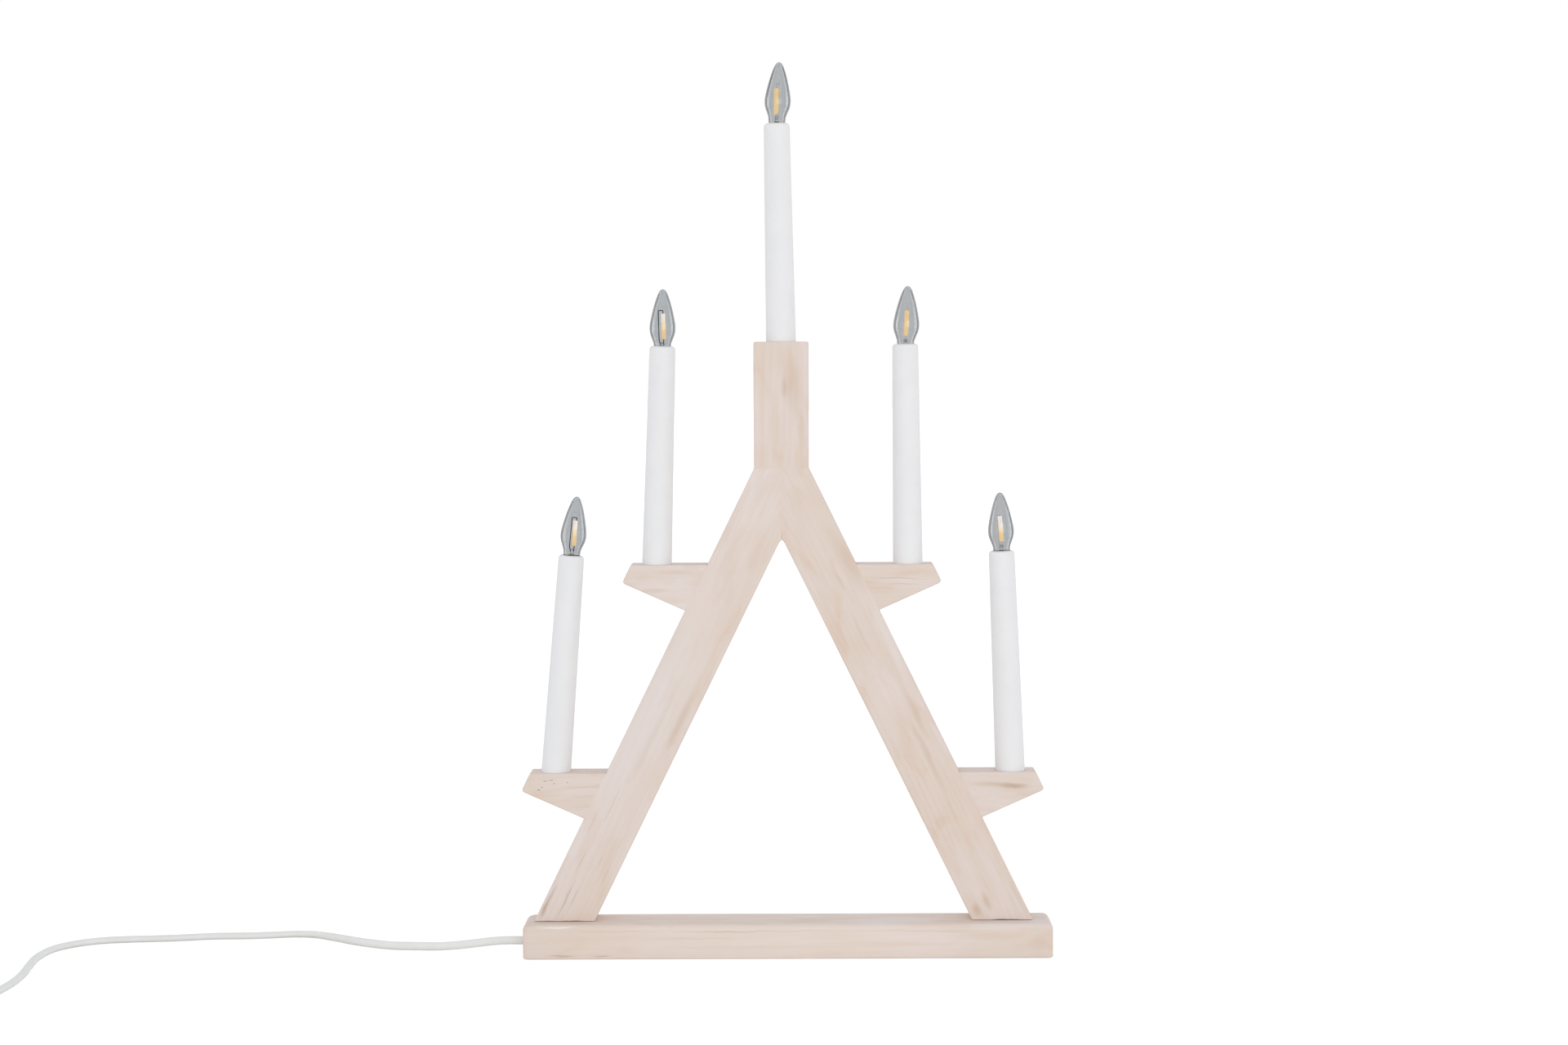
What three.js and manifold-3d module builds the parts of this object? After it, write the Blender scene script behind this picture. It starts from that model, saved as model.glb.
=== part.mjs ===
// Electric advent candlestick: a whitewashed pine A-frame on a base board, with four side arms and
// five candle tubes that carry small clear bulbs on screw caps. Millimetres, +Z up. The origin is the
// middle of the base's underside; the viewer stands at -Y.

import * as THREE from 'three';
import { mergeVertices } from 'three/addons/utils/BufferGeometryUtils.js';
import Module from 'manifold-3d';

const wasm = await Module();
wasm.setup();

const degree = Math.PI / 180;

// Driving sizes: clearances

const fitGap = 0.3; // between pieces that seat in or on each other
const glueGap = 0.1; // glue line of a wooden joint
const armSeat = 0.05; // sanding left on the leg under each arm
const cutMargin = 2; // how far a cutting tool runs past the wood it cuts

// Driving sizes: the wood

const stockWidth = 33; // planed pine batten of the legs, post and arms
const stockThickness = 21;
const stockEase = 0.7; // sanded edges
const cornerEase = 1.3;
const armTipRound = 2.2;
const legAngle = 26.15 * degree; // from the vertical
const seatHeight = 295.3; // flat top of the legs, where the post stands
const postLength = 76.1;
const apexRound = 1.8; // tip of the triangle under the legs' mitre
const lowerArmHeight = 111.4; // top faces of the arms
const upperArmHeight = 237.5;
const armTopLength = 46.2;
const armRootHeight = 27.6; // glued face against the leg, measured upright
const armUndersideAngle = 24 * degree;
const frameShiftSide = -2.7; // the frame stands a little left of and behind the base's middle
const frameShiftBack = 3.6;

const baseLength = 320;
const baseDepth = 36;
const baseHeight = 21;
const baseTopRound = 3.5;
const baseCornerRound = 4;
const baseBottomEase = 1;

// Driving sizes: joinery

const dowelRadius = 3;
const dowelLength = 24;
const dowelChamfer = 0.6;
const dowelSetForward = 3.5; // ahead of the frame's middle plane, clear of the wire groove
const screwLength = 32;
const screwShankRadius = 2;
const screwHeadRadius = 4;
const screwHeadHeight = 2.4;
const screwRecess = 0.6; // the head is sunk this far into the ceiling of the channel
const screwSetInside = 4.8; // from the middle of the leg's foot towards the frame's middle
const screwSetForward = 3;

// Driving sizes: channel under the base and what lies in it

const channelWidth = 20;
const channelEndWall = 10;
const coverThickness = 2.3;
const coverLedge = 3; // width of the step that the cover lies against
const blockLength = 16;
const blockWidth = 11;
const blockDistance = 38; // from the base's left end
const blockScrewRadius = 1.5;
const blockScrewDepth = 3;
const blockPoleSpacing = 5;
const blockWireDepth = 4;
const clampLength = 8;
const clampDistance = 14; // from the base's left end
const clampWall = 1.6;
const clampFoot = 1.6;

// Driving sizes: wires

const wireRadius = 0.9;
const wireSpacing = 2.1;
const wireBend = 2.6;
const grooveWidth = 4.6;
const grooveDepth = 7;
const wireEntryDepth = 13; // below the wood's top face, where the wires leave a candle for the groove
const wireHoleRadius = 2.5;

// Driving sizes: candle tube

const tubeLength = 134.4;
const tubeFootRadius = 9;
const tubeTopRadius = 7.75;
const tubeWall = 1.5;
const tubeTopRound = 2;
const tubeMouthRadius = 5.7;
const spigotRadius = 5;
const spigotLength = 8;
const spigotBoreRadius = 3.9;
const candleInset = 14.95; // from the outer corner of an arm's top face

// Driving sizes: lampholder and bulb, measured down (negative) and up from the tube's top

const holderRadius = 5.9;
const holderLength = 26;
const holderFloor = 2;
const holderWaistRadius = 5.3;
const holderWaistLength = 9;
const capRadius = 4.75; // plain cylinder at the crests of a 9.5 mm lamp thread
const capTop = -1;
const capShellLength = 11;
const capTipLength = 2.2;
const capTipRadius = 1.5;
const capWall = 0.4;
const contactRadius = 2;
const contactHeadHeight = 0.8;
const contactStemRadius = 1.2;
const contactStemLength = 10.5;
const glassWall = 0.6;
const glassTailRadius = 4;
const glassTailLength = 3;
const filamentRadius = 1.3;
const filamentOffset = 1.1;
const filamentLow = 6.4;
const filamentHigh = 21.6;
const supportRadius = 0.35;
const supportOffset = -1.7;
const supportHigh = 23.6;

// Height above the tube's top, radius of the glass. The first point is the neck, the last the tip.
const glassOutline = [
  [1.4, 5.05], [4.2, 5.3], [7.1, 6.35], [10, 7.4], [13, 7.8], [16.5, 7.55],
  [22.5, 6.35], [29, 4.65], [34.4, 2.65], [36.3, 1.2], [36.7, 0],
];

// Driving sizes: cord, coil and plug

const cordRadius = 2.5;
const cordExitHeight = 8.1;
const cordInset = 2; // the free cord starts this far inside the hole in the base's end
const coilCentre = [-490, -152];
const coilOuterRadius = 36;
const coilPitch = 5.5; // turns and layers lie this far apart
const coilTurns = 5.5;
const coilSteps = 24; // stations in a turn
const coilSides = 6;
const tailLength = 40; // straight cord between the last turn and the plug
const tailSteps = 6;
const plugLength = 36;
const plugWidth = 35.3;
const plugThickness = 13.7;
const plugReliefLength = 14;
const plugPinRadius = 2;
const plugPinLength = 19;
const plugPinSpacing = 18.6;

// Free cord, from the hole in the base's end to the start of the coil: chosen points, x, y, z.
const cordRoute = [
  [-158, 0, 8.1], [-165, 0, 8.2], [-172, 0.4, 8.1], [-180, 1.2, 7.4], [-190, 3, 5.9],
  [-202, 5.5, 4.1], [-214, 8, 2.9], [-227, 10.4, 2.5], [-241, 11.6, 2.5], [-254, 17, 2.5],
  [-268, 25.6, 2.5], [-282, 36.4, 2.5], [-296, 46, 2.5], [-310, 48.6, 2.5], [-323, 46.4, 2.5],
  [-341, 44.2, 2.5], [-360, 43.4, 2.5], [-384, 38.2, 2.5], [-409, 35.4, 2.5], [-426, 31.6, 2.5],
  [-440, 22.6, 2.5], [-450, 7.6, 2.5], [-453.4, -14, 2.5], [-452, -38, 2.5], [-449.6, -61, 2.5],
  [-449.6, -84, 2.5], [-452.2, -106, 2.5], [-453.8, -128, 2.5], [-454, -146.7, 2.5],
];

// Driving sizes: the five candles. None stands quite straight: lean is the tube's and tilt the
// glass's in its cap, both positive towards +X. Each seat is drilled a little off its mark (aside) and
// to its own depth (sink), each lampholder is pressed in to its own depth, and each bulb stopped at
// its own angle as it was screwed in.
const candleList = [
  { name: 'lower_left', side: -1, height: lowerArmHeight, aside: 0.3, lean: 4.55, sink: 2.4 },
  { name: 'upper_left', side: -1, height: upperArmHeight, aside: 0.55, lean: 1.85, sink: 2.9 },
  { name: 'top', side: 0, height: seatHeight + postLength, aside: 0, lean: -0.9, sink: 3.9 },
  { name: 'upper_right', side: 1, height: upperArmHeight, aside: 0, lean: -0.6, sink: 2.1 },
  { name: 'lower_right', side: 1, height: lowerArmHeight, aside: 0, lean: -2.25, sink: 0.9 },
];
const bulbFit = {
  lower_left: { pressed: 1.1, tilt: 1.3, turn: 0 },
  upper_left: { pressed: 2.6, tilt: -1, turn: 12 },
  top: { pressed: 0.4, tilt: 3.4, turn: -121 },
  upper_right: { pressed: 2.1, tilt: 3, turn: -92 },
  lower_right: { pressed: 1.6, tilt: 0.4, turn: -56 },
};

// Faces around a round section
const tubeSides = 20;
const holderSides = 16;
const glassSides = 14;
const smallSides = 10;
const wireSides = 6;
const cordSides = 8;
const roundSteps = 4;

// Derived sizes of the frame. Positions along X are counted from the frame's own middle.

const legSlope = Math.tan(legAngle);
const legSpan = stockWidth / Math.cos(legAngle); // width of a leg, cut level
const apexHeight = seatHeight + (stockWidth / 2 - legSpan) / legSlope;
const postTop = seatHeight + postLength;
const footHeight = baseHeight + fitGap;
const channelMiddle = frameShiftBack;
const coverHeight = coverThickness + 2 * fitGap;
const ceiling = cordExitHeight + cordRadius + fitGap;
const grooveMiddle = stockThickness / 2 - grooveDepth / 2;

const legInside = (z) => (apexHeight - z) * legSlope;
const legOutside = (z) => legInside(z) + legSpan;
const legMiddle = (z) => legInside(z) + legSpan / 2;
const legMiddleHeight = (x) => apexHeight - (x - legSpan / 2) / legSlope;
const candlePlace = (side, height) => side * (legOutside(height) + armTopLength - candleInset);

// Colours and surfaces

const plain = (color, roughness, metalness = 0) =>
  new THREE.MeshStandardMaterial({ color, roughness, metalness });

const whitewashedPine = plain(0xdecfc6, 0.62);
const beech = plain(0xd2b48c, 0.7);
const whitePlastic = plain(0xececec, 0.45);
const holderPlastic = plain(0xf0efe8, 0.5);
const blockPlastic = plain(0xe6e6e0, 0.55);
const whiteCord = plain(0xe2e2e2, 0.5);
const hardboard = plain(0x8a6a4a, 0.8);
const zincSteel = plain(0xb8bcc0, 0.4, 1);
const brass = plain(0xc9a64e, 0.3, 1);
const clearGlass = new THREE.MeshStandardMaterial({
  color: 0xdfe4e8, roughness: 0.05, transparent: true, opacity: 0.35,
});
const filamentAmber = plain(0xf2bd62, 0.5);

// Solids

const vector = (x, y, z) => new THREE.Vector3(x, y, z);

// The corners and triangles of a closed mesh, with shared corners merged and its faces pointing out.
function closedMesh(geometry) {
  const bare = new THREE.BufferGeometry();
  bare.setAttribute('position', geometry.getAttribute('position').clone());
  if (geometry.index) bare.setIndex(geometry.index.clone());
  const merged = mergeVertices(bare, 1e-4);
  const corners = Array.from(merged.getAttribute('position').array);
  const faces = [];
  for (let i = 0; i < merged.index.count; i += 3) {
    const [a, b, c] = [0, 1, 2].map((k) => merged.index.getX(i + k));
    if (a !== b && b !== c && c !== a) faces.push([a, b, c]);
  }
  const at = (i) => vector(...corners.slice(3 * i, 3 * i + 3));
  const volume = faces.reduce((sum, [a, b, c]) => sum + at(a).dot(at(b).cross(at(c))), 0);
  if (volume < 0) faces.forEach((face) => face.reverse());
  return { corners, faces };
}

// A solid that can be cut and joined, made from a three.js geometry.
function solid(geometry) {
  const { corners, faces } = closedMesh(geometry);
  return new wasm.Manifold(new wasm.Mesh({
    numProp: 3,
    vertProperties: new Float32Array(corners),
    triVerts: new Uint32Array(faces.flat()),
  }));
}

function geometryOf(shape) {
  const mesh = shape.getMesh();
  const geometry = new THREE.BufferGeometry();
  geometry.setAttribute('position', new THREE.Float32BufferAttribute(mesh.vertProperties, 3));
  geometry.setIndex(Array.from(mesh.triVerts));
  return geometry;
}

function piece(name, shape, material) {
  const mesh = new THREE.Mesh(geometryOf(shape), material);
  mesh.name = name;
  return mesh;
}

const joined = (shapes) => shapes.reduce((sum, shape) => sum.add(shape));
const without = (shape, cuts) => cuts.reduce((rest, cut) => rest.subtract(cut), shape);

// A closed outline of corners [across, up, round]; a corner with a round is cut back to a curve.
function outline(corners) {
  const shape = new THREE.Shape();
  const count = corners.length;
  corners.forEach(([x, y, round = 0], i) => {
    const here = new THREE.Vector2(x, y);
    const toBefore = new THREE.Vector2(...corners[(i + count - 1) % count]).sub(here).normalize();
    const toAfter = new THREE.Vector2(...corners[(i + 1) % count]).sub(here).normalize();
    const back = round / Math.tan(Math.acos(toBefore.dot(toAfter)) / 2);
    const start = here.clone().addScaledVector(toBefore, back);
    const end = here.clone().addScaledVector(toAfter, back);
    if (i === 0) shape.moveTo(start.x, start.y);
    else shape.lineTo(start.x, start.y);
    if (round > 0) shape.quadraticCurveTo(x, y, end.x, end.y);
  });
  return shape;
}

// A plate that stands upright: its outline lies in X and Z, and its thickness is centred on Y = 0.
function standingPlate(shape, thickness, ease = 0) {
  const geometry = new THREE.ExtrudeGeometry(shape, {
    depth: thickness - 2 * ease,
    bevelEnabled: ease > 0,
    bevelThickness: ease,
    bevelSize: ease,
    bevelOffset: -ease,
    bevelSegments: 2,
    curveSegments: 3,
  });
  geometry.translate(0, 0, ease - thickness / 2);
  return geometry.rotateX(90 * degree);
}

// A slot with round ends, as a router cuts it, from a to b in the frame's plane.
function slot(a, b, width) {
  const shape = new THREE.Shape();
  const angle = Math.atan2(b[1] - a[1], b[0] - a[0]);
  shape.absarc(a[0], a[1], width / 2, angle + 90 * degree, angle + 270 * degree);
  shape.absarc(b[0], b[1], width / 2, angle - 90 * degree, angle + 90 * degree);
  return shape;
}

// A turned solid about Z, from a profile [radius, height] that starts and ends on the axis or closes
// on itself.
function turned(profile, sides) {
  const points = profile.map(([radius, height]) => new THREE.Vector2(radius, height));
  return new THREE.LatheGeometry(points, sides).rotateX(90 * degree);
}

const closedProfile = (points) => [...points, points[0]];

// A round bar along Z, from one height to another.
function bar(radius, low, high, sides, chamfer = 0) {
  const eased = chamfer > 0;
  return turned([
    [0, low],
    ...(eased ? [[radius - chamfer, low], [radius, low + chamfer]] : [[radius, low]]),
    ...(eased ? [[radius, high - chamfer], [radius - chamfer, high]] : [[radius, high]]),
    [0, high],
  ], sides);
}

// Corners of a rectangle with rounded corners, as points [x, y].
function roundedRectangle(halfX, halfY, round) {
  const points = [];
  for (let corner = 0; corner < 4; corner += 1) {
    const signX = corner === 0 || corner === 3 ? 1 : -1;
    const signY = corner < 2 ? 1 : -1;
    for (let step = 0; step <= roundSteps; step += 1) {
      const angle = (corner + step / roundSteps) * 90 * degree;
      points.push([
        signX * (halfX - round) + round * Math.cos(angle),
        signY * (halfY - round) + round * Math.sin(angle),
      ]);
    }
  }
  return points;
}

// A solid lofted through rings of points, each ring { z, points }, closed by a flat face at each end.
function loft(rings) {
  const count = rings[0].points.length;
  const positions = rings.flatMap(({ z, points }) => points.flatMap(([x, y]) => [x, y, z]));
  const index = [];
  for (let ring = 0; ring + 1 < rings.length; ring += 1) {
    for (let i = 0; i < count; i += 1) {
      const a = ring * count + i;
      const b = ring * count + ((i + 1) % count);
      index.push(a, b, b + count, a, b + count, a + count);
    }
  }
  const last = (rings.length - 1) * count;
  for (let i = 1; i + 1 < count; i += 1) {
    index.push(0, i + 1, i, last, last + i, last + i + 1);
  }
  const geometry = new THREE.BufferGeometry();
  geometry.setAttribute('position', new THREE.Float32BufferAttribute(positions, 3));
  geometry.setIndex(index);
  return geometry;
}

// A path given by its stations: a tube swept along it has one ring at each of them.
class StationPath extends THREE.Curve {
  constructor(stations) {
    super();
    this.stations = stations;
  }

  getPoint(share) {
    const place = share * (this.stations.length - 1);
    const index = Math.min(Math.floor(place), this.stations.length - 2);
    return this.stations[index].clone().lerp(this.stations[index + 1], place - index);
  }

  getPointAt(share) {
    return this.getPoint(share);
  }

  getTangentAt(share) {
    const last = this.stations.length - 1;
    const index = Math.round(share * last);
    const direction = (i) => this.stations[i + 1].clone().sub(this.stations[i]).normalize();
    const ahead = direction(Math.min(index, last - 1));
    return ahead.add(direction(Math.max(index - 1, 0))).normalize();
  }
}

function sweptTube(stations, radius, sides) {
  const section = new THREE.Shape();
  for (let i = 0; i < sides; i += 1) {
    const angle = (i / sides) * 2 * Math.PI;
    const [x, y] = [radius * Math.cos(angle), radius * Math.sin(angle)];
    if (i === 0) section.moveTo(x, y);
    else section.lineTo(x, y);
  }
  return new THREE.ExtrudeGeometry(section, {
    extrudePath: new StationPath(stations),
    steps: stations.length - 1,
    bevelEnabled: false,
  });
}

// Straight runs through the given points, with a bend of three stations at every corner.
function bentRoute(points, bend) {
  const stations = [points[0]];
  for (let i = 1; i + 1 < points.length; i += 1) {
    const [before, corner, after] = points.slice(i - 1, i + 2);
    const reach = (other) => Math.min(bend, corner.distanceTo(other) / 2);
    const start = corner.clone().lerp(before, reach(before) / corner.distanceTo(before));
    const end = corner.clone().lerp(after, reach(after) / corner.distanceTo(after));
    const curve = new THREE.QuadraticBezierCurve3(start, corner, end);
    stations.push(start, curve.getPoint(0.5), end);
  }
  return [...stations, points[points.length - 1]];
}

// Places of the candles

function candleGroup({ side, height, aside, lean }) {
  const group = new THREE.Group();
  group.position.set(candlePlace(side, height) * Math.abs(side) + aside, 0, height);
  group.rotation.y = lean * degree;
  group.updateMatrix();
  return group;
}

// A shape given in a candle's own space, where its axis is Z and the wood's top face is at zero.
const inCandle = (candle, geometry) => geometry.applyMatrix4(candleGroup(candle).matrix);
const candlePoint = (candle, x, y, z) => vector(x, y, z).applyMatrix4(candleGroup(candle).matrix);

// Wood of the frame

// Corners of one arm on the right, from the root of its underside round to the root of its top face.
function armCorners(height) {
  const rootLow = height - armRootHeight;
  const rootX = legOutside(rootLow);
  const topX = legOutside(height) + armTopLength;
  const rise = Math.tan(armUndersideAngle);
  const tipX = (topX + (height - rootLow + rise * rootX) * legSlope) / (1 + rise * legSlope);
  return [
    [rootX, rootLow],
    [tipX, rootLow + (tipX - rootX) * rise, armTipRound],
    [topX, height, cornerEase],
    [legOutside(height), height],
  ];
}

// The whole frame cut from one board, so that its sanded edges run past the joints.
function frameBlank() {
  const low = footHeight - cutMargin;
  const rightSide = [
    [legInside(low), low],
    [legOutside(low), low],
    ...armCorners(lowerArmHeight),
    ...armCorners(upperArmHeight),
    [stockWidth / 2, seatHeight],
    [stockWidth / 2, postTop, cornerEase],
  ];
  const leftSide = rightSide.map(([x, z, round]) => [-x, z, round]).reverse();
  return solid(standingPlate(
    outline([...rightSide, ...leftSide, [0, apexHeight, apexRound]]),
    stockThickness,
    stockEase,
  ));
}

// The part of the blank that is one leg, which keeps a thin seat for each arm's glued face.
function legRegion(side) {
  const low = footHeight;
  const corners = [
    [glueGap / 2, low], [glueGap / 2, seatHeight],
    [legOutside(seatHeight) + armSeat, seatHeight], [legOutside(low) + armSeat, low],
  ];
  return solid(standingPlate(outline(corners.map(([x, z]) => [side * x, z])), 2 * stockThickness));
}

// The part of the blank outside a leg, between two levels a little beyond one arm.
function armRegion(side, height) {
  const root = armSeat + glueGap;
  const low = height - armRootHeight - cutMargin;
  const high = height + cutMargin;
  const reach = legOutside(low) + armTopLength + stockWidth;
  const corners = [
    [legOutside(low) + root, low], [legOutside(high) + root, high], [reach, high], [reach, low],
  ];
  return solid(standingPlate(outline(corners.map(([x, z]) => [side * x, z])), 2 * stockThickness));
}

function postRegion() {
  const corners = [
    [-stockWidth, seatHeight + glueGap], [stockWidth, seatHeight + glueGap],
    [stockWidth, postTop + cutMargin], [-stockWidth, postTop + cutMargin],
  ];
  return solid(standingPlate(outline(corners), 2 * stockThickness));
}

// The groove in the back of the frame, which all the wires lie in.
function wireGroove() {
  const cut = (a, b) => {
    const deep = grooveDepth + cutMargin;
    const plate = standingPlate(slot(a, b, grooveWidth), deep);
    return solid(plate.translate(0, stockThickness / 2 - grooveDepth + deep / 2, 0));
  };
  const runs = [cut([0, legMiddleHeight(0)], [0, postTop - wireEntryDepth])];
  for (const side of [-1, 1]) {
    const low = footHeight - cutMargin;
    runs.push(cut([side * legMiddle(low), low], [0, legMiddleHeight(0)]));
    for (const height of [lowerArmHeight, upperArmHeight]) {
      const level = height - wireEntryDepth;
      runs.push(cut([side * legMiddle(level), level], [candlePlace(side, height), level]));
    }
  }
  return joined(runs);
}

// The drilled seat of a candle: a shallow recess for its foot and a bore for its spigot.
function candleSeat(candle) {
  const recess = bar(tubeFootRadius + fitGap, -candle.sink - fitGap, cutMargin, tubeSides);
  const boreEnd = -wireEntryDepth - grooveWidth / 2;
  const bore = bar(spigotRadius + fitGap, boreEnd, 0, holderSides);
  return solid(inCandle(candle, recess)).add(solid(inCandle(candle, bore)));
}

// A dowel across an arm's glue line, square to the leg, or upright under the post.
function dowelPlaces() {
  const places = [{ name: 'post', x: 0, z: seatHeight, tilt: 0 }];
  for (const [level, height] of [['lower', lowerArmHeight], ['upper', upperArmHeight]]) {
    const z = height - armRootHeight / 2;
    places.push({ name: `${level}_left`, x: -legOutside(z), z, tilt: legAngle - 90 * degree });
    places.push({ name: `${level}_right`, x: legOutside(z), z, tilt: 90 * degree - legAngle });
  }
  return places;
}

function dowelShape({ x, z, tilt }, gap = 0) {
  const half = dowelLength / 2 + gap;
  const shape = bar(dowelRadius + gap, -half, half, holderSides, gap > 0 ? 0 : dowelChamfer);
  return solid(shape.rotateY(tilt).translate(x, -dowelSetForward, z));
}

// A countersunk screw through the base's ceiling into the foot of a leg, pointing up.
const screwPlace = (side) => side * (legMiddle(baseHeight) - screwSetInside);
const screwSeat = ceiling + screwRecess;

function footScrew(side) {
  const shape = turned([
    [0, screwSeat], [screwHeadRadius, screwSeat],
    [screwShankRadius, screwSeat + screwHeadHeight],
    [screwShankRadius, screwSeat + screwLength - 2 * screwShankRadius],
    [0, screwSeat + screwLength],
  ], smallSides);
  return solid(shape.translate(screwPlace(side), -screwSetForward, 0));
}

function footScrewHole(side) {
  const hole = turned([
    [0, ceiling - fitGap], [screwHeadRadius + fitGap, ceiling - fitGap],
    [screwHeadRadius + fitGap, screwSeat],
    [screwShankRadius + fitGap, screwSeat + screwHeadHeight],
    [screwShankRadius + fitGap, screwSeat + screwLength + fitGap],
    [0, screwSeat + screwLength + fitGap],
  ], smallSides);
  return solid(hole.translate(screwPlace(side), -screwSetForward, 0));
}

function addFrame(frame) {
  const blank = frameBlank();
  const groove = wireGroove();
  const dowelHoles = dowelPlaces().map((place) => dowelShape(place, fitGap));
  const cuts = [groove, ...dowelHoles];
  for (const [side, name] of [[-1, 'left'], [1, 'right']]) {
    const leg = without(blank.intersect(legRegion(side)), [...cuts, footScrewHole(side)]);
    frame.add(piece(`${name}_leg`, leg, whitewashedPine));
    for (const level of ['lower', 'upper']) {
      const candle = candleList.find((entry) => entry.name === `${level}_${name}`);
      const arm = without(blank.intersect(armRegion(side, candle.height)), [...cuts, candleSeat(candle)]);
      frame.add(piece(`${level}_${name}_arm`, arm, whitewashedPine));
    }
    frame.add(piece(`${name}_foot_screw`, footScrew(side), zincSteel));
  }
  const top = candleList.find((entry) => entry.side === 0);
  const post = without(blank.intersect(postRegion()), [...cuts, candleSeat(top)]);
  frame.add(piece('post', post, whitewashedPine));
  for (const place of dowelPlaces()) {
    frame.add(piece(`${place.name}_dowel`, dowelShape(place), beech));
  }
}

// Base board with its channel, cover and cord entry

const channelLow = -baseLength / 2 + channelEndWall;
const channelHigh = baseLength / 2 - channelEndWall;

function baseBoard() {
  const ring = (z, inset) => ({
    z,
    points: roundedRectangle(
      baseLength / 2 - inset,
      baseDepth / 2 - inset,
      Math.max(baseCornerRound - inset, stockEase / 2),
    ),
  });
  const rings = [ring(0, baseBottomEase), ring(baseBottomEase, 0)];
  for (let step = 0; step <= roundSteps; step += 1) {
    const angle = (step / roundSteps) * 90 * degree;
    rings.push(ring(
      baseHeight - baseTopRound * (1 - Math.sin(angle)),
      baseTopRound * (1 - Math.cos(angle)),
    ));
  }
  return solid(loft(rings));
}

// A level slot with round corners, cut up from below the base.
function routed(lengthLow, lengthHigh, width, low, high) {
  const half = (lengthHigh - lengthLow) / 2;
  const ring = (z) => ({ z, points: roundedRectangle(half, width / 2, baseCornerRound) });
  const shape = loft([ring(low), ring(high)]);
  return shape.translate((lengthLow + lengthHigh) / 2, channelMiddle, 0);
}

const grooveFoot = (side) => frameShiftSide + side * legMiddle(baseHeight);
const grooveLine = frameShiftBack + grooveMiddle;

function addBase(root) {
  const rebate = routed(
    channelLow - coverLedge, channelHigh + coverLedge, channelWidth + 2 * coverLedge,
    -cutMargin, coverHeight,
  );
  const channel = routed(channelLow, channelHigh, channelWidth, -cutMargin, ceiling);
  const entry = bar(cordRadius + fitGap, 0, channelEndWall + 2 * cutMargin, tubeSides / 2);
  entry.rotateY(90 * degree).translate(-baseLength / 2 - cutMargin, 0, cordExitHeight);
  const wireHoles = [-1, 1].map((side) =>
    bar(wireHoleRadius, ceiling - cutMargin, baseHeight + cutMargin, smallSides)
      .translate(grooveFoot(side), grooveLine, 0));
  const screwHoles = [-1, 1].map((side) =>
    footScrewHole(side).translate(frameShiftSide, frameShiftBack, 0));
  const board = without(baseBoard(), [
    ...[rebate, channel, entry, ...wireHoles].map((cut) => solid(cut)),
    ...screwHoles,
  ]);
  root.add(piece('base', board, whitewashedPine));

  const cover = routed(
    channelLow - coverLedge + fitGap, channelHigh + coverLedge - fitGap,
    channelWidth + 2 * coverLedge - 2 * fitGap, fitGap, fitGap + coverThickness,
  );
  root.add(piece('base_cover', solid(cover), hardboard));
}

// Two-pole terminal block against the channel's ceiling, its screws reached from below.
const blockLow = -baseLength / 2 + blockDistance;
const blockHigh = blockLow + blockLength;
const poleLine = (pole) => pole * blockPoleSpacing / 2;

function addTerminalBlock(root) {
  const low = coverHeight + fitGap;
  const high = ceiling - fitGap;
  const half = blockWidth / 2;
  const notch = cutMargin / 2;
  const section = outline([
    [-half, high], [-half, low + notch], [-half + notch, low], [-notch, low], [0, low + notch],
    [notch, low], [half - notch, low], [half, low + notch], [half, high],
  ]);
  const body = standingPlate(section, blockLength).rotateZ(90 * degree);
  body.translate((blockLow + blockHigh) / 2, 0, 0);
  const cuts = [];
  for (const pole of [-1, 1]) {
    for (const end of [blockLow + blockLength / 4, blockHigh - blockLength / 4]) {
      const hole = bar(blockScrewRadius, low - fitGap, low + blockScrewDepth, smallSides);
      cuts.push(hole.translate(end, poleLine(pole), 0));
    }
    const socket = bar(wireRadius + fitGap, 0, blockWireDepth + fitGap, smallSides);
    socket.rotateY(90 * degree).translate(blockHigh - blockWireDepth, poleLine(pole), cordExitHeight);
    cuts.push(socket);
  }
  root.add(piece('terminal_block', without(solid(body), cuts.map((cut) => solid(cut))), blockPlastic));
}

// Saddle that grips the cord behind the hole in the base's end.
function addCordClamp(root) {
  const inner = cordRadius + fitGap;
  const outer = inner + clampWall;
  const high = ceiling - fitGap;
  const section = new THREE.Shape();
  section.moveTo(outer + clampFoot, high);
  section.lineTo(outer + clampFoot, high - clampWall);
  section.lineTo(outer, high - clampWall);
  section.absarc(0, cordExitHeight, outer, 0, -Math.PI, true);
  section.lineTo(-outer, high - clampWall);
  section.lineTo(-outer - clampFoot, high - clampWall);
  section.lineTo(-outer - clampFoot, high);
  section.lineTo(-inner, high);
  section.absarc(0, cordExitHeight, inner, Math.PI, 2 * Math.PI, false);
  section.lineTo(inner, high);
  const saddle = standingPlate(section, clampLength).rotateZ(90 * degree);
  saddle.translate(-baseLength / 2 + clampDistance + clampLength / 2, 0, 0);
  root.add(piece('cord_clamp', solid(saddle), holderPlastic));
}

// Candle

const tubeTop = (candle) => tubeLength - candle.sink;

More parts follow.
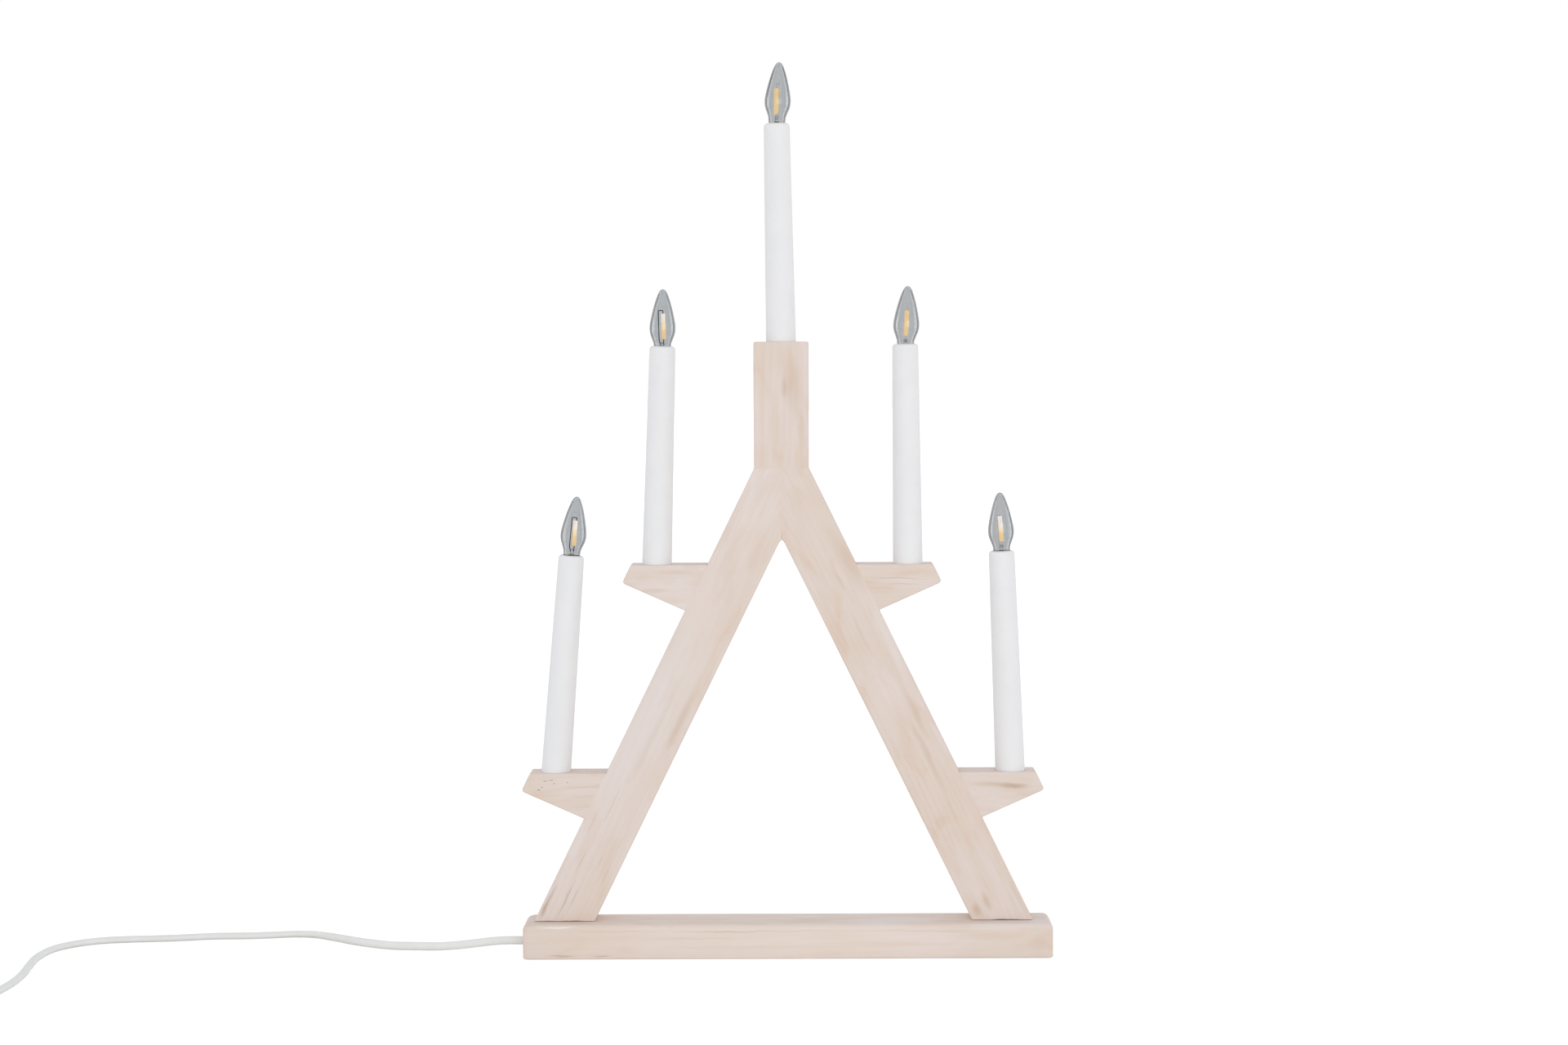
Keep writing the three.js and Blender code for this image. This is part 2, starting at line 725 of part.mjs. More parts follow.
// Hollow tapered tube with a rounded rim, an inward lip at its mouth and a spigot under its foot.
function candleTube() {
  const rim = [];
  for (let step = 0; step <= 3; step += 1) {
    const angle = (step / 3) * 90 * degree;
    rim.push([
      tubeTopRadius - tubeTopRound * (1 - Math.cos(angle)),
      tubeLength - tubeTopRound * (1 - Math.sin(angle)),
    ]);
  }
  return solid(turned(closedProfile([
    [spigotBoreRadius, -spigotLength],
    [spigotRadius, -spigotLength],
    [spigotRadius, 0],
    [tubeFootRadius, 0],
    ...rim,
    [tubeMouthRadius, tubeLength],
    [tubeMouthRadius, tubeLength - tubeWall],
    [tubeTopRadius - tubeWall, tubeLength - tubeWall],
    [tubeFootRadius - tubeWall, tubeWall],
    [spigotBoreRadius, tubeWall],
  ]), tubeSides));
}

// Heights below follow the bulb: each piece sits a fit gap under the one above it.
const capShellLow = capTop - capShellLength;
const capLow = capShellLow - capTipLength;
const contactTop = capLow - fitGap;
const contactLow = contactTop - contactHeadHeight - contactStemLength;
const holderTop = -tubeWall - fitGap;
const holderLow = holderTop - holderLength;

function lampholder() {
  const bore = capRadius + fitGap;
  const pocket = contactRadius + fitGap;
  const pocketLow = contactLow - fitGap;
  return solid(turned([
    [0, Math.min(holderLow, pocketLow - holderFloor)],
    [holderWaistRadius, Math.min(holderLow, pocketLow - holderFloor)],
    [holderWaistRadius, holderLow + holderWaistLength],
    [holderRadius, holderLow + holderWaistLength + holderRadius - holderWaistRadius],
    [holderRadius, holderTop],
    [bore, holderTop],
    [bore, capShellLow - fitGap],
    [pocket, capLow - fitGap],
    [pocket, pocketLow],
    [0, pocketLow],
  ], holderSides));
}

// Sprung centre contact: a rivet that presses up against the bulb's tip.
function contactRivet() {
  const underHead = contactTop - contactHeadHeight;
  return solid(turned([
    [0, contactLow], [contactStemRadius, contactLow], [contactStemRadius, underHead],
    [contactRadius, underHead], [contactRadius, contactTop], [0, contactTop],
  ], smallSides));
}

function bulbCap() {
  const inner = capRadius - capWall;
  return solid(turned([
    [0, capLow], [capTipRadius, capLow], [capTipRadius, capLow + capTipLength / 3],
    [capRadius - capWall, capShellLow], [capRadius, capShellLow + capWall], [capRadius, capTop],
    [inner, capTop], [inner, capShellLow + capTipLength / 2], [0, capShellLow + capTipLength / 2],
  ], holderSides));
}

// Clear glass: a tail inside the cap, a narrow neck and a flame-shaped bowl, open at the tail.
function bulbGlass() {
  const tailLow = capTop - glassTailLength;
  const outside = [[glassTailRadius, tailLow], [glassTailRadius, capTop + fitGap]];
  for (const [height, radius] of glassOutline) outside.push([radius, height]);
  const tipHeight = outside[outside.length - 1][1];
  const inside = outside.slice(0, -1).map(([radius, height], i) => {
    const [nextRadius, nextHeight] = outside[i + 1];
    const [lastRadius, lastHeight] = outside[Math.max(i - 1, 0)];
    const along = new THREE.Vector2(nextRadius - lastRadius, nextHeight - lastHeight).normalize();
    return [radius - glassWall * along.y, Math.min(height + glassWall * along.x, tipHeight - glassWall)];
  });
  inside[0][1] = tailLow;
  const bowl = inside.filter(([radius, height]) => radius > glassWall && height < tipHeight - 2 * glassWall);
  return solid(turned([
    [0, tipHeight], ...outside.slice(0, -1).reverse(), ...bowl, [0, tipHeight - 1.5 * glassWall],
  ], glassSides));
}

// What stands inside the glass: a flared stem, one lit filament and the bent wire that holds its top.
function bulbFilament() {
  const stemTop = filamentLow - 4 * supportRadius;
  const stemRadius = glassTailRadius - glassWall - fitGap;
  const stem = turned([
    [0, capTop - glassTailLength], [stemRadius, capTop - glassTailLength],
    [stemRadius, capTop], [stemRadius / 2, stemTop / 2], [stemRadius * 0.55, stemTop], [0, stemTop],
  ], smallSides);
  const filament = bar(filamentRadius, filamentLow, filamentHigh, smallSides, filamentRadius / 4);
  filament.translate(filamentOffset, 0, 0);
  const lead = bar(supportRadius, stemTop - supportRadius, filamentLow + supportRadius, wireSides);
  lead.translate(filamentOffset, 0, 0);
  const support = sweptTube(bentRoute([
    vector(supportOffset / 2, 0, stemTop - 2 * supportRadius),
    vector(supportOffset, 0, filamentLow + supportRadius),
    vector(supportOffset, 0, supportHigh),
    vector(filamentOffset, 0, supportHigh),
    vector(filamentOffset, 0, filamentHigh - supportRadius),
  ], 2 * supportRadius), supportRadius, wireSides);
  return joined([stem, filament, lead, support].map((shape) => solid(shape)));
}

function addCandle(frame, candle) {
  const place = candleGroup(candle);
  const tube = piece(`${candle.name}_candle_tube`, candleTube(), whitePlastic);
  tube.position.z = -candle.sink;
  place.add(tube);
  const { pressed, tilt, turn } = bulbFit[candle.name];
  const mouth = new THREE.Group();
  mouth.position.z = tubeTop(candle) - pressed;
  mouth.add(piece(`${candle.name}_lampholder`, lampholder(), holderPlastic));
  mouth.add(piece(`${candle.name}_contact`, contactRivet(), brass));
  mouth.add(piece(`${candle.name}_bulb_cap`, bulbCap(), brass));
  const glass = new THREE.Group();
  glass.position.z = capTop;
  glass.rotation.set(0, tilt * degree, turn * degree);
  for (const [part, shape, material] of [
    ['bulb_glass', bulbGlass(), clearGlass],
    ['bulb_filament', bulbFilament(), filamentAmber],
  ]) {
    const mesh = piece(`${candle.name}_${part}`, shape, material);
    mesh.position.z = -capTop;
    glass.add(mesh);
  }
  mouth.add(glass);
  place.add(mouth);
  frame.add(place);
}

// Wires, in the frame's own space. One wire at a time lies in a leg's groove; an arm's groove holds
// two, on an upper and a lower track. The upper one stands further out in the candle's bore.

const trackOffset = wireSpacing / 2;

// From the lampholder down through the tube and spigot, and back into the groove behind.
function wireOutOfCandle(candle, across, level) {
  const holderEnd = Math.min(holderLow, contactLow - fitGap - holderFloor);
  const low = tubeTop(candle) - bulbFit[candle.name].pressed + holderEnd;
  const start = candlePoint(candle, across, 0, low - fitGap);
  const neck = candlePoint(candle, across, 0, -candle.sink);
  return [start, vector(neck.x, 0, level), vector(neck.x, grooveMiddle, level)];
}

// The same, run along the arm's groove to the middle of the leg's.
function wireToLeg(candle, track) {
  const level = candle.height - wireEntryDepth + track * trackOffset;
  const outward = candle.side * track * trackOffset;
  const corner = vector(candle.side * legMiddle(level), grooveMiddle, level);
  return [...wireOutOfCandle(candle, outward, level), corner];
}

function wireToPost(candle, side) {
  const level = candle.height - wireEntryDepth;
  const x = side * trackOffset;
  return [
    ...wireOutOfCandle(candle, x, level).slice(0, 1),
    vector(x, 0, level),
    vector(x, grooveMiddle, level),
    vector(x, grooveMiddle, legMiddleHeight(trackOffset)),
  ];
}

// From a leg's groove down through the base into the channel, to the terminal block.
function wireToBlock(side) {
  const inFrame = (x, y, z) => vector(x - frameShiftSide, y - frameShiftBack, z);
  const foot = grooveFoot(side);
  const level = cordExitHeight;
  const pole = poleLine(-side);
  const start = [inFrame(foot, grooveLine, baseHeight), inFrame(foot, grooveLine, level)];
  const blockEnd = blockHigh + fitGap;
  const turn = blockHigh + 3 * wireBend;
  if (side < 0) {
    return [...start, inFrame(turn, grooveLine, level), inFrame(turn, pole, level),
      inFrame(blockEnd, pole, level)];
  }
  return [...start, inFrame(foot - 3 * wireBend, grooveLine, level),
    inFrame(foot - 6 * wireBend, pole, level), inFrame(blockEnd, pole, level)];
}

function addWires(frame) {
  const [lowerLeft, upperLeft, top, upperRight, lowerRight] = candleList;
  const routes = {
    base_to_lower_left: [...wireToLeg(lowerLeft, -1), ...wireToBlock(-1)],
    lower_left_to_upper_left: [...wireToLeg(lowerLeft, 1), ...wireToLeg(upperLeft, -1).reverse()],
    upper_left_to_top: [...wireToLeg(upperLeft, 1), ...wireToPost(top, -1).reverse()],
    top_to_upper_right: [...wireToPost(top, 1), ...wireToLeg(upperRight, 1).reverse()],
    upper_right_to_lower_right: [...wireToLeg(upperRight, -1), ...wireToLeg(lowerRight, 1).reverse()],
    lower_right_to_base: [...wireToLeg(lowerRight, -1), ...wireToBlock(1)],
  };
  for (const [name, points] of Object.entries(routes)) {
    const tube = sweptTube(bentRoute(points, wireBend), wireRadius, wireSides);
    frame.add(piece(`wire_${name}`, solid(tube), whiteCord));
  }
}

// Cord, coil and plug

// Coil of two layers: it winds in on the floor, climbs in the half turn where the spiral reverses,
// winds out again on top and runs straight to the plug.
function coilStations() {
  const [centreX, centreY] = coilCentre;
  const stations = [vector(centreX + coilOuterRadius, centreY + 2 * cordRadius, cordRadius)];
  const count = Math.round(coilTurns * coilSteps);
  for (let step = 0; step <= count; step += 1) {
    const turn = step / coilSteps;
    const wound = Math.min(turn, coilTurns - turn);
    const radius = coilOuterRadius - coilPitch * wound;
    const climb = THREE.MathUtils.clamp((turn - coilTurns / 2) / 0.5 + 0.5, 0, 1);
    const angle = -turn * 2 * Math.PI;
    stations.push(vector(
      centreX + radius * Math.cos(angle),
      centreY + radius * Math.sin(angle),
      cordRadius + coilPitch * climb,
    ));
  }
  const end = stations[stations.length - 1];
  const drop = end.z - plugThickness / 2;
  for (let step = 1; step <= tailSteps; step += 1) {
    const share = step / tailSteps;
    const down = THREE.MathUtils.smoothstep(share, 1 / tailSteps, 1 - 1 / tailSteps);
    stations.push(vector(end.x, end.y + tailLength * share, end.z - drop * down));
  }
  return stations;
}

// Free space between stretches of the coil that are more than half a turn apart along it.
function leastCoilGap(stations) {
  const apart = coilSteps / 2;
  let least = Infinity;
  for (let i = 0; i < stations.length; i += 1) {
    for (let j = i + apart; j < stations.length; j += 1) {
      least = Math.min(least, stations[i].distanceTo(stations[j]) - 2 * cordRadius);
    }
  }
  return least;
}

const routeLength = (stations) =>
  stations.slice(1).reduce((sum, station, i) => sum + station.distanceTo(stations[i]), 0);

function addCord(root) {
  const hidden = [
    vector(blockLow - fitGap, 0, cordExitHeight),
    vector(-baseLength / 2 + cordInset + fitGap, 0, cordExitHeight),
  ];
  root.add(piece('cord_inside', solid(sweptTube(hidden, cordRadius, cordSides)), whiteCord));

  const curve = new THREE.CatmullRomCurve3(cordRoute.map((point) => vector(...point)), false, 'centripetal');
  const steps = Math.round(curve.getLength() / (5 * cordRadius));
  const run = curve.getSpacedPoints(steps);
  root.add(piece('cord_run', solid(sweptTube(run, cordRadius, cordSides)), whiteCord));

  const coil = coilStations();
  root.add(piece('cord_coil', solid(sweptTube(coil, cordRadius, coilSides)), whiteCord));
  addPlug(root, coil[coil.length - 1]);
  const total = [hidden, run, coil].reduce((sum, stations) => sum + routeLength(stations), 0);
  console.log(`coil: least gap to itself ${leastCoilGap(coil).toFixed(2)} mm`);
  console.log(`cord: ${total.toFixed(0)} mm in all, ${routeLength(run).toFixed(0)} mm of it free`);
}

// Flat two-pin plug, lying with its cord towards -Y.
function addPlug(root, cordEnd) {
  const halfThick = plugThickness / 2;
  const ring = (z, halfWidth, half) => ({ z, points: roundedRectangle(halfWidth, half, half * 0.9) });
  const reliefRadius = cordRadius + 1.2;
  const bodyStart = plugReliefLength;
  const bodyEnd = plugReliefLength + plugLength;
  const body = loft([
    ring(0, cordRadius + 0.5, cordRadius + 0.5),
    ring(plugReliefLength * 0.9, reliefRadius, reliefRadius),
    ring(bodyStart, plugWidth * 0.2, halfThick * 0.75),
    ring(bodyStart + plugLength * 0.3, plugWidth * 0.34, halfThick * 0.94),
    ring(bodyStart + plugLength * 0.62, plugWidth * 0.44, halfThick),
    ring(bodyEnd - 1.5, plugWidth / 2, halfThick),
    ring(bodyEnd, plugWidth / 2 - 1.2, halfThick - 1.2),
  ]);
  const plug = new THREE.Group();
  plug.position.set(cordEnd.x, cordEnd.y + fitGap, cordEnd.z);
  plug.rotation.x = -90 * degree;
  plug.add(piece('plug_body', solid(body), whitePlastic));
  for (const [side, name] of [[-1, 'left'], [1, 'right']]) {
    const low = bodyEnd + fitGap;
    const pin = bar(plugPinRadius, low, low + plugPinLength, smallSides, plugPinRadius / 3);
    pin.translate(side * plugPinSpacing / 2, 0, 0);
    plug.add(piece(`plug_pin_${name}`, solid(pin), zincSteel));
  }
  root.add(plug);
}

// Assembly

const candlestick = new THREE.Group();
addBase(candlestick);
addTerminalBlock(candlestick);
addCordClamp(candlestick);

const frame = new THREE.Group();
frame.position.set(frameShiftSide, frameShiftBack, 0);
addFrame(frame);
for (const candle of candleList) addCandle(frame, candle);
addWires(frame);
candlestick.add(frame);

addCord(candlestick);

export default candlestick;
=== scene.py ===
# %% [markdown]
# # An electric advent candlestick in whitewashed pine
#
# Five white candle tubes with small clear bulbs stand on a wooden A-frame. The rigid model comes
# from CAD and stays where it is. This lesson dresses it: it lays the lead, turns the tubes and
# bulbs with finer walls, rounds the base board, and gives every piece a finish.

import math

import bpy
from mathutils import Euler, Matrix, Vector


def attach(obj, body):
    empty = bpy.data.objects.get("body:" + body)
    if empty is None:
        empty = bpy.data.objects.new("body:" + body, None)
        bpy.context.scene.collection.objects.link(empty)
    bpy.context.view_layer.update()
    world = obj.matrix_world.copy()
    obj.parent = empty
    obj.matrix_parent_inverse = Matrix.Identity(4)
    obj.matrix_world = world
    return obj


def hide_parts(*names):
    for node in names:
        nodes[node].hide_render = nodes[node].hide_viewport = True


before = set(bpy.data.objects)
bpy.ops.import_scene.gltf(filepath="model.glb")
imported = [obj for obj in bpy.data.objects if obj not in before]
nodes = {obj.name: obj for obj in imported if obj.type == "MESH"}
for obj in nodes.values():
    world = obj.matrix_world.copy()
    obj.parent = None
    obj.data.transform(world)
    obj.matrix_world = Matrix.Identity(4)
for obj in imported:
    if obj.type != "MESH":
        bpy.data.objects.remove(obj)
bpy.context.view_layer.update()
print("nodes:", len(nodes))

# %% [markdown]
# ## The camera
#
# The camera comes first, because the lead may only be coiled up where the camera doesn't see it.
# Its place and turn were found by fitting the edges of the planed wood, which is 21 by 33 mm.

# %% Camera
MM = 0.001
IMAGE_WIDTH = 1920
FOCAL_PIXELS = 3384.57
SENSOR_WIDTH = 36
CAMERA_PLACE = (4.979, -1663.514, 367.093)
# how many degrees it looks down, is turned to its left, and is rolled
LOOKS_DOWN, TURNED_LEFT, ROLLED = 3.5962, 0.2171, -0.2419


def put_in_scene(name, data):
    """A new object that shows this data."""
    made = bpy.data.objects.new(name, data)
    bpy.context.scene.collection.objects.link(made)
    return made


def make_camera():
    data = bpy.data.cameras.new("camera")
    data.sensor_width = SENSOR_WIDTH
    data.lens = FOCAL_PIXELS / IMAGE_WIDTH * SENSOR_WIDTH
    data.clip_end = 100
    camera = put_in_scene("camera", data)
    aim = Euler((math.radians(90 - LOOKS_DOWN), 0, math.radians(TURNED_LEFT))).to_matrix()
    roll = Matrix.Rotation(math.radians(ROLLED), 3, "Z")
    place = Matrix.Translation(Vector(CAMERA_PLACE) * MM)
    camera.matrix_world = place @ (aim @ roll).to_4x4()
    bpy.context.scene.camera = camera
    print("lens: %.2f mm" % data.lens)


make_camera()

# %% [markdown]
# ## Small helpers
#
# An operator works on everything that is selected, so each step starts from an empty selection. A
# piece is shaped about the world's axis first. Then it is placed, and its place is applied to its
# mesh.


# %% Helpers for operators
def pick(*pieces):
    """Leaves only these pieces selected, the last one active."""
    if bpy.context.object and bpy.context.object.mode != "OBJECT":
        bpy.ops.object.mode_set(mode="OBJECT")
    bpy.ops.object.select_all(action="DESELECT")
    for piece in pieces:
        piece.select_set(True)
        bpy.context.view_layer.objects.active = piece


def apply_place(piece, matrix=Matrix.Identity(4)):
    pick(piece)
    piece.matrix_world = matrix @ piece.matrix_world
    bpy.ops.object.transform_apply(location=True, rotation=True, scale=True)
    return piece


def close_up(piece):
    """Merges doubles and turns all faces outwards."""
    pick(piece)
    bpy.ops.object.mode_set(mode="EDIT")
    bpy.ops.mesh.select_all(action="SELECT")
    bpy.ops.mesh.remove_doubles(threshold=2e-6)
    bpy.ops.mesh.normals_make_consistent(inside=False)
    bpy.ops.object.mode_set(mode="OBJECT")


def smooth(piece, degrees=35):
    pick(piece)
    bpy.ops.object.shade_smooth_by_angle(angle=math.radians(degrees))


def finish_modifiers(piece):
    pick(piece)
    for modifier in list(piece.modifiers):
        bpy.ops.object.modifier_apply(modifier=modifier.name)


def copy_of(piece, name):
    twin = piece.copy()
    twin.data = piece.data.copy()
    twin.name = name
    bpy.context.scene.collection.objects.link(twin)
    return twin


def join_pieces(name, *pieces):
    pick(*pieces)
    bpy.ops.object.join()
    bpy.context.object.name = name
    return bpy.context.object


# %% Helpers for places
def move(x, y, z):
    """A shift in millimetres."""
    return Matrix.Translation((x * MM, y * MM, z * MM))


def turn(degrees, axis="Y"):
    return Matrix.Rotation(math.radians(degrees), 4, axis)


# %% [markdown]
# ## The lead
#
# A flat two-core lead leaves a hole in the base's left end. It is stiff enough to sink in a slow
# arc, lies on the floor in the two lazy bends of the photograph, and runs out of the picture
# towards us. What is left of its 1.5 m is wound into a neat coil there. A curve carries an oval
# section along the route: on edge where it comes out of the hole, and turned flat further on.

# %% The lead's route
CORD_ROUTE = [
    (-158, 0, 8.1), (-165, 0, 8.2), (-172, 0.4, 8.1), (-180, 1.2, 7.4), (-190, 3, 5.9),
    (-202, 5.5, 4.1), (-214, 8, 2.9), (-227, 10.4, 2.5), (-241, 11.6, 2.5), (-254, 17, 2.5),
    (-268, 25.6, 2.5), (-282, 36.4, 2.5), (-296, 46, 2.5), (-310, 48.6, 2.5), (-323, 46.4, 2.5),
    (-341, 44.2, 2.5), (-360, 43.4, 2.5), (-384, 38.2, 2.5), (-409, 35.4, 2.5), (-426, 31.6, 2.5),
    (-440, 22.6, 2.5), (-450, 7.6, 2.5), (-453.4, -14, 2.5), (-452, -38, 2.5), (-449.6, -61, 2.5),
    (-449.6, -84, 2.5), (-452.2, -106, 2.5), (-453.8, -128, 2.5), (-454, -146.7, 2.5),
]
CORD_ON_FLOOR = 2.5
CORD_WIDTH, CORD_THICKNESS = 5.2, 4.1
COIL_CENTRE = (-490, -152)
COIL_RADIUS = 36
COIL_PITCH = 5.5
COIL_TURNS = 5.5
COIL_STEPS = 48
# how far the upper turns lie above the lower ones, in thicknesses of the lead
COIL_RISE = 1.06
PLUG_HALF_THICKNESS = 6.85
TAIL_LENGTH = 40
# the lead stands on edge near the hole, and is turned flat over this stretch of X
ON_EDGE_UNTIL, FLAT_FROM = -260, -330
FRONT_STRETCH_Y = 60


def ease(share):
    share = min(max(share, 0), 1)
    return share * share * (3 - 2 * share)


def coil_points():
    """Wound inwards on the floor, then outwards on top of it, then straight on into the plug."""
    points = []
    for step in range(1, round(COIL_TURNS * COIL_STEPS) + 1):
        turns = step / COIL_STEPS
        radius = COIL_RADIUS - COIL_PITCH * min(turns, COIL_TURNS - turns)
        upper = min(max((turns - COIL_TURNS / 2) / 0.5 + 0.5, 0), 1)
        angle = -turns * 2 * math.pi
        x = COIL_CENTRE[0] + radius * math.cos(angle)
        y = COIL_CENTRE[1] + radius * math.sin(angle)
        points.append((x, y, CORD_THICKNESS * (0.5 + COIL_RISE * upper)))
    x, y, z = points[-1]
    for share in (0.15, 0.3, 0.45, 0.6, 0.75, 0.88, 1):
        lift = (PLUG_HALF_THICKNESS - z) * ease(share * 1.5 - 0.25)
        points.append((x, y + TAIL_LENGTH * share, z + lift))
    return points


def smooth_route(points, step=3.0):
    """A Catmull-Rom curve through the points, with a point about every step millimetres."""
    line = [Vector(point) for point in points]
    line = [line[0] * 2 - line[1], *line, line[-1] * 2 - line[-2]]
    fine = []
    for a, b, c, d in zip(line, line[1:], line[2:], line[3:]):
        count = max(1, round((c - b).length / step))
        for k in range(count):
            t = k / count
            bend = (2 * a - 5 * b + 4 * c - d) * t ** 2 + (3 * b - a - 3 * c + d) * t ** 3
            fine.append(0.5 * (2 * b + (c - a) * t + bend))
    return [*fine, line[-2]]


def on_edge(x, y):
    """1 where the oval stands on its edge, near the hole, and 0 once it lies flat."""
    if y >= FRONT_STRETCH_Y or x <= FLAT_FROM:
        return 0
    return ease((x - FLAT_FROM) / (ON_EDGE_UNTIL - FLAT_FROM))


def lying_height(x, y, z):
    """Height of the lead's middle, where the floor carries it at whatever turn it has."""
    angle = math.radians(90 * on_edge(x, y))
    half = math.hypot(CORD_WIDTH / 2 * math.sin(angle), CORD_THICKNESS / 2 * math.cos(angle))
    return max(half, z if z > CORD_ON_FLOOR else 0)


cord_line = smooth_route(
    [(x, y, lying_height(x, y, z)) for x, y, z in CORD_ROUTE] + coil_points()
)
cord_length = sum((b - a).length for a, b in zip(cord_line, cord_line[1:])) * MM
print("lead: %.3f m, %d points" % (cord_length, len(cord_line)))


# %% The lead's surface
def piece_along(name, points, spline_kind="NURBS", closed=False, tilts=None, **section):
    """A curve through points in millimetres, made a mesh. Tilts are in degrees, and section gives
    the curve's own properties."""
    data = bpy.data.curves.new(name, "CURVE")
    data.dimensions = "3D"
    for field, value in section.items():
        setattr(data, field, value)
    spline = data.splines.new(spline_kind)
    spline.points.add(len(points) - 1)
    spline.use_cyclic_u = closed
    spline.use_endpoint_u = not closed
    spline.order_u = 3
    for knot, point, tilt in zip(spline.points, points, tilts or [0] * len(points)):
        knot.co = (*(Vector(point) * MM), 1)
        knot.tilt = math.radians(tilt)
    pick(put_in_scene(name, data))
    bpy.ops.object.convert(target="MESH")
    return bpy.context.object


def make_cord():
    pick()
    bpy.ops.curve.primitive_bezier_circle_add(radius=1)
    oval = bpy.context.object
    oval.scale = (CORD_WIDTH / 2 * MM, CORD_THICKNESS / 2 * MM, 1)
    oval.data.resolution_u = 5
    apply_place(oval)
    tilts = [90 * on_edge(point.x, point.y) for point in cord_line]
    cord = piece_along(
        "cord", cord_line, "POLY", tilts=tilts, twist_mode="Z_UP", bevel_mode="OBJECT",
        bevel_object=oval, use_fill_caps=True,
    )
    bpy.data.objects.remove(oval)
    close_up(cord)
    smooth(cord, 60)
    return cord


cord = make_cord()
print("lead:", len(cord.data.polygons), "faces")

# %% [markdown]
# A narrow strip of soft plastic holds the turns together. It is one flat loop that follows the
# bundle's outline, drawn as a curve with a thin flat section and then made a mesh.

# %% The coil's tie
TIE_WIDTH, TIE_THICKNESS = 7, 0.8
# where the loop runs, in Y from the coil's middle and in Z
TIE_NEAR, TIE_FAR, TIE_TOP = -21, -39, 2 * CORD_THICKNESS + 2.1
TIE_SIDE_LOW = 1.6


def make_tie():
    """A loop round the turns on the coil's near side, in a plane through the coil's axis."""
    outline = [
        (TIE_FAR, TIE_SIDE_LOW), (TIE_FAR, TIE_TOP - 2), (TIE_FAR + 1.8, TIE_TOP),
        (-30, TIE_TOP + 0.3), (TIE_NEAR - 1.8, TIE_TOP), (TIE_NEAR, TIE_TOP - 2),
        (TIE_NEAR, TIE_SIDE_LOW), (TIE_NEAR - 1.4, TIE_THICKNESS / 2),
        (TIE_FAR + 1.4, TIE_THICKNESS / 2),
    ]
    x, y = COIL_CENTRE
    tie = piece_along(
        "cord_tie", [(x, y + reach, height) for reach, height in outline], closed=True,
        tilts=[90] * len(outline), extrude=TIE_WIDTH / 2 * MM, bevel_depth=TIE_THICKNESS / 2 * MM,
        bevel_resolution=2, resolution_u=6,
    )
    close_up(tie)
    smooth(tie, 50)
    return tie


cord_tie = make_tie()
print("tie:", len(cord_tie.data.polygons), "faces")

# %% [markdown]
# ## Turned pieces
#
# Tubes, glass, caps and pins are all bodies of revolution. The helper starts from one circle and
# extrudes it again and again, and scales each new ring to the next radius of the profile.


# %% A turned piece from its profile
def turned(name, profile, sides=64, filled=True):
    """profile: (radius, height) pairs in millimetres. Radius 0 may only come last, as a point."""
    radius, height = profile[0]
    pick()
    bpy.ops.mesh.primitive_circle_add(
        vertices=sides,
        radius=radius * MM,
        fill_type="NGON" if filled else "NOTHING",
        location=(0, 0, height * MM),
    )
    piece = bpy.context.object
    piece.name = name
    bpy.ops.object.transform_apply(location=True)
    bpy.ops.object.mode_set(mode="EDIT")
    bpy.ops.mesh.select_all(action="SELECT")
    for (r0, z0), (r1, z1) in zip(profile, profile[1:]):
        bpy.ops.mesh.extrude_region_move(TRANSFORM_OT_translate={"value": (0, 0, (z1 - z0) * MM)})
        if r1 == 0:
            bpy.ops.mesh.merge(type="CENTER")
        elif r1 != r0:
            bpy.ops.transform.resize(value=(r1 / r0, r1 / r0, 1), center_override=(0, 0, 0))
    bpy.ops.object.mode_set(mode="OBJECT")
    close_up(piece)
    return piece


def arc(centre, radius, first, last, steps=6):
    """Profile points on a quarter or other part of a circle, angles in degrees."""
    angles = [math.radians(first + (last - first) * k / steps) for k in range(steps + 1)]
    return [(centre[0] + radius * math.cos(a), centre[1] + radius * math.sin(a)) for a in angles]


# %% [markdown]
# ## The plug
#
# The lead ends in a flat two-pin mains plug, moulded in one with a ribbed relief. The body starts
# from a plane at the lead's end, which is extruded and widened station by station towards the pins.
# A bevel rounds its long edges. The pins are turned, each with a thin plastic sleeve.

# %% Plug body
PLUG_AT = Vector((-526, -111.7, PLUG_HALF_THICKNESS))
# distance from the lead's end, half width, half thickness
PLUG_STATIONS = [
    (13, 6, 4.8), (16, 7.4, 5.4), (21, 9.8, 6.1), (26, 12, 6.45), (32, 14.1, 6.7),
    (38, 15.8, 6.82), (44, 17.1, 6.85), (50, 17.6, 6.85),
]
PLUG_ROUNDING = 2.6
RIBS, RIB_PITCH, RIB_WIDTH = 5, 2.5, 1.3
GROOVE_DEPTH = 0.7


def along_plug(piece):
    """Lays a piece that was made upright on its side, pointing away from the lead."""
    return apply_place(piece, Matrix.Translation(PLUG_AT * MM) @ turn(-90, "X"))


